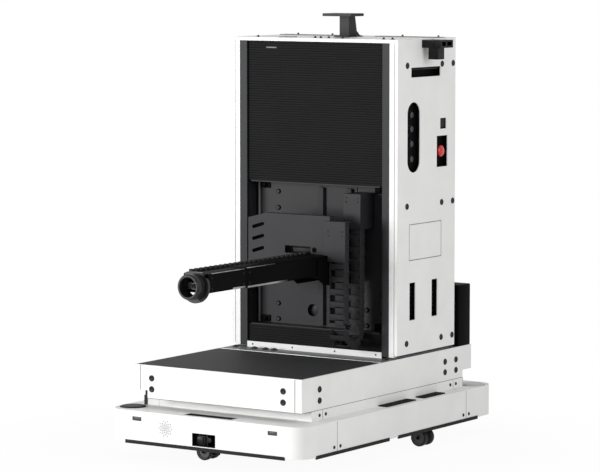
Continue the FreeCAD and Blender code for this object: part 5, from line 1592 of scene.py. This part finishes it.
# ------------------------------------------------------------------ tower
@dataclass
class TowerFittings:
    """Fittings of the tower: top plates and studs, base clips, sill screws, back vents and the trays' ribs.

    Attributes:
        vent_rows: rows of slots in a back vent.
        vent_pitch: distance between the rows.
        vents: left edge and foot of each back vent.
    """

    vent_rows: int = 9
    vent_pitch: float = 9.0
    vents: tuple[tuple[float, float], ...] = ((-210.0, 1180.0), (90.0, 1180.0), (-60.0, 640.0))

    def build(self) -> None:
        """Make all fittings of the tower."""
        self.top()
        self.base_strip()
        self.sill()
        self.back()
        self.trays()

    def top(self) -> None:
        """Thin plates and standing bolts on the tower's top."""
        _, high = extent("tower_top")
        z = high.z
        plates = [slab("top_plate", (x0, x1), (y0, y1), (z, z + 2.2), 0.5) for x0, x1, y0,
                  y1 in ((-180, -128, 90, 130), (52, 96, 90, 130), (70, 340, 330, 372),
                         (-340, -70, 330, 372))]
        dress(join("top_plates", plates), GREY_COAT, "chassis", "grey_paint")
        stud = rod("stud", Vector((0, 0, 0)), Facing.UP.vector(), 3.6, 6.5, 0.7, 16)
        washer = rod("washer", Vector((0, 0, 0)), Facing.UP.vector(), 6.5, 1.4, 0.3, 20)
        spots = [at(x, 80, z) for x in (-262.0, -18.0, 6.0, 40.0, 98.0, 268.0, 304.0)]
        spots += [at(x, 392, z) for x in (-300.0, -150.0, 150.0, 300.0)]
        dress(spread("top_studs", join("stud", [stud, washer]), spots), ZINC, "chassis", "black_paint")

    def base_strip(self) -> None:
        """Clips and a joint line on the grey strip in front of the tower."""
        low, high = extent("tower_base")
        z = 322.0
        feet = []
        for x in (-318.0, -236.0, -188.0, -150.0, 318.0):
            feet.append(slab("clip", (x - 9, x + 9), (8, 24), (z, z + 5), 1.0))
            feet.append(rod("clip_screw", at(x, 16, z + 4.6), Facing.UP.vector(), 4.0, 2.4, 0.5, 16))
        dress(join("base_clips", feet), ZINC, "chassis", "black_paint")
        joint = slab("base_joint", (low.x + 2, high.x - 2), (low.y + 0.4, low.y + 3.4), (z - 1.5, z + 0.9),
                     0.4)
        dress(joint, ANODISED, "chassis", "grey_paint")

    def sill(self) -> None:
        """Screws in the bright sill under the lower bellows."""
        low, _ = extent("front_trim")
        screw = face_to(disc_and_socket("sill_screw", 3.2, 1.2, 1.5), Facing.FRONT)
        spots = [at(x, low.y, 333) for x in (-262.0, -90.0, 90.0, 262.0)]
        dress(spread("sill_screws", screw, spots), ZINC, "chassis", "black_paint")

    def back(self) -> None:
        """Vents, a seam strip and screws on the tower's back."""
        _, high = extent("tower_panels")
        y = high.y
        slots = []
        for x0, foot in self.vents:
            for row in range(self.vent_rows):
                z = foot + row * self.vent_pitch
                slots.append(slab("vent_slot", (x0, x0 + 120), (y - 1.0, y + 0.1), (z, z + 3.4), 0.3, 1))
        dress(join("back_vents", slots), PORT_BLACK, "chassis", "black_plastic")
        seam = slab("back_seam", (-340, 340), (y - 0.8, y + 0.08), (889.0, 890.6), 0)
        dress(seam, PORT_BLACK, "chassis", "black_plastic")
        screw = face_to(disc_and_socket("back_screw", 5.0, 2.0, 2.3), Facing.REAR)
        spots = [at(x, y, z) for x in (-328.0, 0.0, 328.0) for z in (560.0, 872.0, 908.0, 1190.0, 1416.0)
                 if not (x == 0.0 and z == 1190.0)]
        dress(spread("back_screws", screw, spots), ZINC, "chassis", "black_paint")

    def trays(self) -> None:
        """Ribs, a grip rail and a touch pad inside the trays of the operator's side."""
        pieces = []
        x = 347.0
        for y in (142.0, 290.0):
            for k in range(7):
                z = 470 + k * 15.5
                pieces.append(slab("tray_rib", (x - 14, x - 9), (y - 15, y + 15), (z, z + 3), 0.6))
        pieces.append(slab("grip", (x - 10, x - 2.5), (134, 320), (1326, 1332), 2.0, 3))
        pieces.append(slab("touch_pad", (x - 2.2, x - 0.6), (329, 361), (1117, 1147), 1.0))
        dress(join("tray_fittings", pieces), NYLON, "chassis", "black_plastic")


@dataclass
class Mast:
    """Foot plate and screws of the mast bracket, and the side sensors' details."""

    def build(self) -> None:
        """Fit the mast's foot screws and the sensors' lenses and screws."""
        low, high = extent("mast_bracket")
        foot = face_to(disc_and_socket("foot_screw", 4.0, 3.0, 1.9), Facing.UP)
        base = slab("mast_foot", (-34, 34), (low.y + 34, high.y + 4), (1434, 1438), 1.0)
        dress(base, BLACK_COAT, "chassis", "black_paint")
        spots = [at(x, y, 1438) for x in (-27.0, 27.0) for y in (high.y - 34, high.y - 8)]
        dress(spread("mast_foot_screws", foot, spots), ZINC, "chassis", "black_paint")
        self.sensors()

    def sensors(self) -> None:
        """Lens strip, seam and screws of each side sensor head."""
        low, high = extent("side_sensors")
        panes, seams = [], []
        spots = []
        for side in (1, -1):
            outer = high.x if side > 0 else low.x
            xs = (outer, outer - side * 1.6)
            for y0, y1, z0, z1 in ((206.0, 232.0, 1409.0, 1425.0), (240.0, 272.0, 1409.0, 1425.0)):
                panes.append(slab("sensor_pane", xs, (y0, y1), (z0, z1), 0.7))
            xs = (outer - side * 28, outer - side * 29.2)
            seams.append(slab("sensor_seam", xs, (198.6, 280.4), (1402.6, 1430.4), 0))
            spots += [at(outer - side * 20, 198.9, z) for z in (1410.0, 1423.0)]
        dress(join("sensor_panes", panes), NYLON, "chassis", "sensor_glass")
        dress(join("sensor_seams", seams), PORT_BLACK, "chassis", "black_plastic")
        screw = face_to(disc_and_socket("sensor_screw", 2.2, 1.0, 1.0), Facing.FRONT)
        dress(spread("sensor_screws", screw, spots), ZINC, "chassis", "black_paint")


# ------------------------------------------------------------------ chassis and deck fittings
@dataclass
class Plugs:
    """Plugs and screws of the cladding, which stand for the plain heads of the frame.

    Attributes:
        plug: radius of the plugs in the deck's sides.
        tower_screw: radius of the tower's cladding screws.
        trim: radius of the small screws beside the seams.
    """

    plug: float = 11.0
    tower_screw: float = 11.0
    trim: float = 6.0

    def build(self) -> None:
        """Set every plug and screw."""
        deck_low, deck_high = extent("deck_panels")
        _, cover_high = extent("end_covers")
        panel_low, panel_high = extent("tower_panels")
        batches = []
        for sign, front, right in ((1, Facing.FRONT, Facing.RIGHT), (-1, Facing.REAR, Facing.LEFT)):
            face_y, face_x = sign * deck_low.y, sign * deck_high.x
            spots = [at(sign * x, face_y, z) for x in (-273.0, 273.0) for z in (240.0, 278.0)]
            batches.append(self.batch("plug_end", self.plug, 3.0, front, spots))
            spots = [at(face_x, sign * y, z) for y in (-443.0, 368.0, 443.0) for z in (240.0, 278.0)]
            batches.append(self.batch("plug_side", self.plug, 3.0, right, spots))
            spots = [at(sign * cover_high.x, sign * (s * 421 + d), 86) for s in (-1, 1) for d in (-19, 19)]
            spots += [at(face_x, sign * (s * 424 + d), 190) for s in (-1, 1) for d in (-19, 19)]
            batches.append(self.batch("trim_screw", self.trim, 2.0, right, spots))
            tower_x = panel_high.x if sign > 0 else panel_low.x
            spots = [at(tower_x, y, z) for y in (104.0, 336.0, 411.0) for z in (371.0, 853.0, 1343.0)]
            batches.append(self.batch("tower_screw", self.tower_screw, 2.4, right, spots))
        dress(join("cladding_plugs", batches), ZINC, "chassis", "black_paint", "fasteners")
        LOG.info("%d batches of plugs", len(batches))

    @staticmethod
    def batch(name: str, radius: float, height: float, facing: Facing,
              spots: Sequence[Vector]) -> bpy.types.Object:
        """Set one kind of head at each spot.

        Args:
            name: name of the batch.
            radius: head radius.
            height: head height.
            facing: where the heads look.
            spots: where they stand.

        Returns:
            The joined heads.
        """
        return spread(name, face_to(disc_and_socket(name, radius, height, radius * 0.42), facing), spots)


@dataclass
class Seams:
    """Hairline gaps between the cladding panels, drawn as the dark gaskets that fill them.

    Attributes:
        width: width of a gap.
        proud: how far a gasket stands out of the sheet.
        sunk: how deep it goes in.
        corner: distance of the deck's upright seams from its corners.
        skirt: distance of the skirt's seams from the middle.
        band: distance of the seams in the band under the deck from the middle.
        block_size: length, depth and height over the chassis of the band's corner blocks.
        block_proud: how far these blocks stand out of the band.
        notch: size of the corner notches at the front left and the rear right, where the level seams end.
        notch_top: height of the notches' upper edge, where the corner seams end.
    """

    width: float = 1.3
    proud: float = 0.3
    sunk: float = 1.5
    corner: float = 28.0
    skirt: float = 421.0
    band: float = 424.0
    block_size: Point = (108.0, 26.0, 9.0)
    block_proud: float = 3.0
    notch: tuple[float, float] = (58.0, 61.0)
    notch_top: float = 236.0

    def build(self) -> None:
        """Fill the seams of deck, band and skirt."""
        deck_low, deck_high = extent("deck_panels")
        band_low, band_high = extent("lower_band")
        skirt_low, skirt_high = extent("side_skirts")
        w, strips = self.width / 2, []
        cut_x, cut_y = self.notch
        for side in (-1, 1):
            ys = (side * (deck_high.y + self.proud), side * (deck_high.y - self.sunk))
            for x in (deck_low.x + self.corner, deck_high.x - self.corner):
                foot = deck_low.z + 3 if x * side < 0 else self.notch_top
                strips.append(slab("seam", (x - w, x + w), ys, (foot, deck_high.z - 2), 0))
            x0, x1 = (deck_low.x + cut_x, deck_high.x) if side < 0 else (deck_low.x, deck_high.x - cut_x)
            strips.append(slab("seam", (x0, x1), ys, (deck_low.z - w, deck_low.z + w), 0))
            xs = (side * (deck_high.x + self.proud), side * (deck_high.x - self.sunk))
            y0, y1 = (deck_low.y + cut_y, deck_high.y) if side < 0 else (deck_low.y, deck_high.y - cut_y)
            strips.append(slab("seam", xs, (y0, y1), (deck_low.z - w, deck_low.z + w), 0))
            for high, place, z0, z1 in ((skirt_high, self.skirt, skirt_low.z + 2, skirt_high.z - 4),
                                        (band_high, self.band, band_low.z + 3, band_high.z - 2)):
                xs = (side * (high.x + self.proud), side * (high.x - self.sunk))
                strips += [slab("seam", xs, (end * place - w, end * place + w), (z0, z1), 0)
                           for end in (-1, 1)]
        dress(join("panel_seams", strips), GASKET, "chassis", "black_plastic")
        self.corner_blocks(band_low, band_high)

    def corner_blocks(self, low: Vector, high: Vector) -> None:
        """Fit the thicker corner blocks of the band.

        Args:
            low: lowest corner of the band.
            high: highest corner of the band.
        """
        length, width, foot = self.block_size
        pieces = []
        for x_end, y_end in ((1, -1), (-1, 1)):
            xs = (x_end * (high.x + self.block_proud), x_end * (high.x - length))
            ys = (y_end * (high.y + self.block_proud), y_end * (high.y - width))
            pieces.append(slab("band_block", xs, ys, (low.z + foot, high.z - 1.0), 2.0, 3))
        dress(join("band_corner_blocks", pieces), WHITE_COAT, "chassis", "white_paint")


@dataclass
class DeckFittings:
    """Bright border of the deck mat, and the grilles in the slots of the chassis's top plate."""

    slat: float = 2.0
    slat_pitch: float = 7.0

    def build(self) -> None:
        """Fit the deck and the chassis top."""
        low, high = extent("deck_mat")
        rim = slab("mat_rim_body", (low.x - 0.2, high.x + 0.2), (low.y - 0.2, high.y),
                   (high.z - 3.6, high.z + 0.35), 0)
        hole = slab("mat_rim_hole", (low.x + 2.6, high.x - 2.6), (low.y + 2.6, high.y - 2.6),
                    (high.z - 9, high.z + 9), 0)
        dress(carve(rim, [hole]), ANODISED, "chassis", "grey_paint")
        self.grilles()

    def grilles(self) -> None:
        """Slats under the slots of the chassis's top plate."""
        slats = []
        z0 = 163.0
        spans = [(-99.0, 99.0, -605.0, -563.0, 174.0, True), (352.0, 385.0, -80.0, 110.0, 178.0, False),
                 (352.0, 385.0, 165.0, 310.0, 178.0, False)]
        for x0, x1, y0, y1, z1, along_x in spans:
            count = int(((x1 - x0) if along_x else (y1 - y0)) / self.slat_pitch)
            for k in range(count):
                shift = (k + 0.5) * self.slat_pitch
                for sign in (1, -1):
                    if along_x:
                        corners = (x0 + shift, x0 + shift + self.slat, y0 - 3, y1 + 3)
                    else:
                        corners = (x0 - 3, x1 + 3, y0 + shift, y0 + shift + self.slat)
                    xs = (sign * corners[0], sign * corners[1])
                    ys = (sign * corners[2], sign * corners[3])
                    slats.append(slab("slat", xs, ys, (z0, z1), 0))
        dress(join("slot_grilles", slats), NYLON, "chassis", "black_plastic")


@dataclass
class RearCabinet:
    """Black cabinet at the rear: a door with louvres, its locks and the charging contacts."""

    def build(self) -> None:
        """Model the cabinet and its rear fittings."""
        low, high = extent("rear_box")
        shell = block("cabinet", low * MM + CENTRE, at(high.x, high.y - 2.0, high.z), 4.0, 3)
        dress(shell, SHADED_BLACK_COAT, "chassis", "black_plastic", "rear_box")
        door = slab("door", (low.x + 14, high.x - 14), (high.y - 3, high.y), (low.z + 14, high.z - 14), 1.6,
                    3)
        cuts = []
        for row in range(8):
            z = high.z - 48 - row * 9
            cuts.append(slab("louvre", (-300, -160), (high.y - 1.6, high.y + 4), (z, z + 4), 0))
            cuts.append(slab("louvre", (160, 300), (high.y - 1.6, high.y + 4), (z, z + 4), 0))
        dress(carve(door, cuts), SHADED_BLACK_COAT, "chassis", "black_plastic")
        locks = [turned("lock", [(0.0, 2.0), (3.0, 2.0), (3.4, 3.2), (9.0, 3.2), (10.0, 2.4), (10.0, 0.0)],
                        at(x, high.y - 3.2, (low.z + high.z) / 2), Facing.REAR.vector(), 32)
                 for x in (-310.0, 310.0)]
        dress(join("door_locks", locks), ZINC, "chassis", "black_paint")
        contacts = [slab("contact", (x, x + 60), (high.y - 2.5, high.y - 0.2), (low.z + 36, low.z + 52), 1.5)
                    for x in (-75.0, 15.0)]
        dress(join("charge_contacts", contacts), ANODISED, "chassis", "aluminium")


@dataclass
class Underside:
    """Bolts of the caster plates.

    Attributes:
        reach: distance of a bolt from the swivel axis, along X and along Y.
        pan: height of the pan's underside, where the heads sit.
    """

    reach: float = 27.0
    pan: float = 80.0

    def build(self) -> None:
        """Fit the caster plates' bolts."""
        reach = self.reach
        bolt = face_to(disc_and_socket("caster_bolt", 5.5, 3.6, 2.6), Facing.DOWN)
        spots = []
        for corner in ("front", "right", "rear", "left"):
            low, high = extent("caster_fork_" + corner)
            wheel_low, wheel_high = extent("caster_wheels_" + corner)
            wheel = (wheel_low + wheel_high) / 2
            sign = 1 if wheel.x > (low.x + high.x) / 2 else -1
            swivel_x = wheel.x - sign * Caster.trail
            spots += [at(swivel_x + dx, wheel.y + dy, self.pan) for dx in (-reach, reach)
                      for dy in (-reach, reach)]
        dress(spread("caster_bolts", bolt, spots), ZINC, "chassis", "frame_steel")


NODE_FINISHES: dict[Finish, tuple[str, ...]] = {WHITE_COAT: ("chassis_top_plate", "end_covers", "side_skirts",
                                                             "lower_band", "deck_panels", "tower_panels",
                                                             "tower_top", "front_trim"),
                                                BLACK_COAT: ("deck_frame", "tower_frame", "mast_bracket",
                                                             "carriage_plate", "chain_box", "arm_housing",
                                                             "arm_cover", "tip_flange", "nose_ring",
                                                             "chain_bracket", "fasteners"),
                                                SHADED_BLACK_COAT: ("rear_box", "arm_beam", "arm_root", "panel_trays",
                                                            "estop_panel"),
                                                GREY_COAT: ("tower_base", "tip_sensor"),
                                                FRAME_COAT: ("chassis_frame", "drive_units"),
                                                NYLON: ("corner_scanners", "battery_pack", "side_sensors",
                                                        "recess_sensors", "chain_rear_leg", "chain_front_leg",
                                                        "chain_bend", "cable_carrier"),
                                                DARK_EXTRUSION: ("curtain_guides",), RUBBER: ("bumpers",),
                                                MAT: ("deck_mat",), CLOTH: ("upper_bellows", "lower_bellows"),
                                                GREY_RAIL: ("lift_rails",), BLACK_RAIL: ("carriage_guides",),
                                                ZINC: ("caster_fork_front", "caster_fork_right",
                                                       "caster_fork_rear", "caster_fork_left"),
                                                ANODISED: ("lift_drive",),
                                                POLYURETHANE: ("drive_wheel_right", "drive_wheel_left",
                                                               "caster_wheels_front", "caster_wheels_right",
                                                               "caster_wheels_rear", "caster_wheels_left"),
                                                RED_CAP: ("estop_button",),
                                                GLOSS_CAP: ("push_button_1", "push_button_2", "push_button_3",
                                                            "push_button_4"), DARK_LENS: ("sensor_windows",),
                                                }


def dress_frame() -> None:
    """Give every node of the frame its finish."""
    for finish, names in NODE_FINISHES.items():
        for name in names:
            node = frame["nodes"][name]
            material = PALETTE.get(finish)
            if not node.material_slots:
                node.data.materials.append(material)
            for holder in node.material_slots:
                holder.material = material
            LOG.info("%s in %s", name, finish.name)


# ------------------------------------------------------------------ studio
@dataclass
class Studio:
    """Pale floor, soft lamps and the camera.

    Attributes:
        floor_size: side of the floor in metres.
        ambient: strength of the even light from all round.
        key: power of the large lamp at the front left, in watts.
        lens: focal length in millimetres.
        pitch: how far the camera looks down, in degrees.
        heading: compass turn of the view, in degrees from straight on.
        glow_near: how much of the floor near the object shows as plain white.
        shadow_ends: distances in metres between which the floor turns fully white.
        eye: the camera's place in millimetres from the chassis centre.
    """

    floor_size: float = 60.0
    ambient: float = 0.48
    key: float = 568.0
    lens: float = 181.2
    pitch: float = 5.51
    heading: float = 33.92
    glow_near: float = 0.95
    shadow_ends: tuple[float, float] = (0.7, 1.4)
    eye: Point = (5887.0, -8797.0, 1761.0)

    def build(self) -> None:
        """Make the floor, the world, the lamps and the camera."""
        self.make_world()
        self.make_floor()
        self.make_lamps()
        self.make_camera()

    @staticmethod
    def seen_directly(tree: bpy.types.NodeTree) -> bpy.types.NodeSocket:
        """Find the rays that show the background: camera, glossy and transmission ones.

        Args:
            tree: the node tree.

        Returns:
            A socket that is 1 on such rays.
        """
        path = add_node(tree, "ShaderNodeLightPath")
        first = add_node(tree, "ShaderNodeMath", links={0: path.outputs["Is Camera Ray"],
                                                        1: path.outputs["Is Glossy Ray"]},
                         operation="MAXIMUM")
        both = add_node(tree, "ShaderNodeMath", links={0: first.outputs[0],
                                                       1: path.outputs["Is Transmission Ray"]},
                        operation="MAXIMUM")
        return both.outputs[0]

    def make_world(self) -> None:
        """White to the eye, gentler as a light."""
        world = bpy.data.worlds.new("studio_air")
        bpy.context.scene.world = world
        world.use_nodes = True
        tree = world.node_tree
        tree.nodes.clear()
        seen = self.seen_directly(tree)
        light = add_node(tree, "ShaderNodeBackground", {"Color": linear("#FFFFFF"), "Strength": self.ambient})
        white = add_node(tree, "ShaderNodeBackground", {"Color": linear("#FFFFFF"), "Strength": 1.0})
        mix = add_node(tree, "ShaderNodeMixShader", links={0: seen, 1: light.outputs[0], 2: white.outputs[0]})
        add_node(tree, "ShaderNodeOutputWorld", links={"Surface": mix.outputs[0]})

    def make_floor(self) -> None:
        """A pale floor that keeps a faint shadow."""
        clear_selection()
        bpy.ops.mesh.primitive_plane_add(size=self.floor_size, location=(0, 0, -0.0005))
        floor = name_new("studio_floor")
        bpy.ops.object.transform_apply(location=True, rotation=True, scale=True)
        material = bpy.data.materials.new("pale_studio_vinyl")
        material.use_nodes = True
        tree = material.node_tree
        tree.nodes.clear()
        seen = self.seen_directly(tree)
        place = add_node(tree, "ShaderNodeTexCoord")
        away = add_node(tree, "ShaderNodeVectorMath", links={0: place.outputs["Object"]}, operation="LENGTH")
        rise = add_node(tree, "ShaderNodeMapRange",
                        {"From Min": self.shadow_ends[0], "From Max": self.shadow_ends[1],
                         "To Min": self.glow_near}, {"Value": away.outputs["Value"]},
                        interpolation_type="SMOOTHSTEP")
        share = add_node(tree, "ShaderNodeMath", links={0: seen, 1: rise.outputs["Result"]},
                         operation="MULTIPLY")
        matt = add_node(tree, "ShaderNodeBsdfDiffuse", {"Color": linear("#F4F4F4")})
        glow = add_node(tree, "ShaderNodeEmission", {"Color": linear("#FFFFFF"), "Strength": 1.0})
        mix = add_node(tree, "ShaderNodeMixShader", links={0: share.outputs[0], 1: matt.outputs[0],
                                                           2: glow.outputs[0]})
        add_node(tree, "ShaderNodeOutputMaterial", links={"Surface": mix.outputs[0]})
        floor.data.materials.append(material)

    def add_lamp(self, name: str, place: Vector, aim: Vector, size: float, power: float) -> None:
        """Add a square soft lamp.

        Args:
            name: name of the lamp.
            place: where it hangs.
            aim: the point it looks at.
            size: side in metres.
            power: power in watts.
        """
        data = bpy.data.lights.new(name, "AREA")
        data.shape = "SQUARE"
        data.size = size
        data.energy = power
        lamp = bpy.data.objects.new(name, data)
        bpy.context.scene.collection.objects.link(lamp)
        lamp.location = place
        lamp.rotation_euler = (aim - place).to_track_quat("-Z", "Y").to_euler()

    def make_lamps(self) -> None:
        """A large key lamp at the front left, which the black fronts reflect, and a small fill."""
        middle = at(0, 0, 750)
        self.add_lamp("key_lamp", at(-4900, -7150, 1750), middle, 3.4, self.key)
        self.add_lamp("right_fill", at(5200, -1500, 2400), middle, 3.0, self.key * 0.15)

    def make_camera(self) -> None:
        """Place the camera at the viewing angle."""
        data = bpy.data.cameras.new("view")
        data.lens = self.lens
        data.sensor_width = 36.0
        data.clip_end = 100.0
        camera = bpy.data.objects.new("view", data)
        bpy.context.scene.collection.objects.link(camera)
        down, turn = math.radians(self.pitch), math.radians(self.heading)
        look = Vector((-math.sin(turn) * math.cos(down), math.cos(turn) * math.cos(down), -math.sin(down)))
        camera.location = at(*self.eye)
        camera.rotation_euler = look.to_track_quat("-Z", "Y").to_euler()
        bpy.context.scene.camera = camera


def main() -> None:
    """Build the scene in order."""
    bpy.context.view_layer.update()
    bpy.context.scene.view_settings.view_transform = "Standard"
    Studio().build()
    dress_frame()
    parts = [Bellows(), EnergyChain(), NoseUnit(), Beam(), CarrierRow(), FrontPorts(), Scanner(False),
             Scanner(True), DriveWheel("right"), DriveWheel("left"), Controls(), BareField(), CarriageFace(),
             ArmSheets(), TowerFittings(), Mast(), Plugs(), Seams(), DeckFittings(), RearCabinet(),
             Underside()]
    parts += [Caster(corner) for corner in ("front", "right", "rear", "left")]
    for part in parts:
        part.build()


if __name__ == "__main__":
    main()
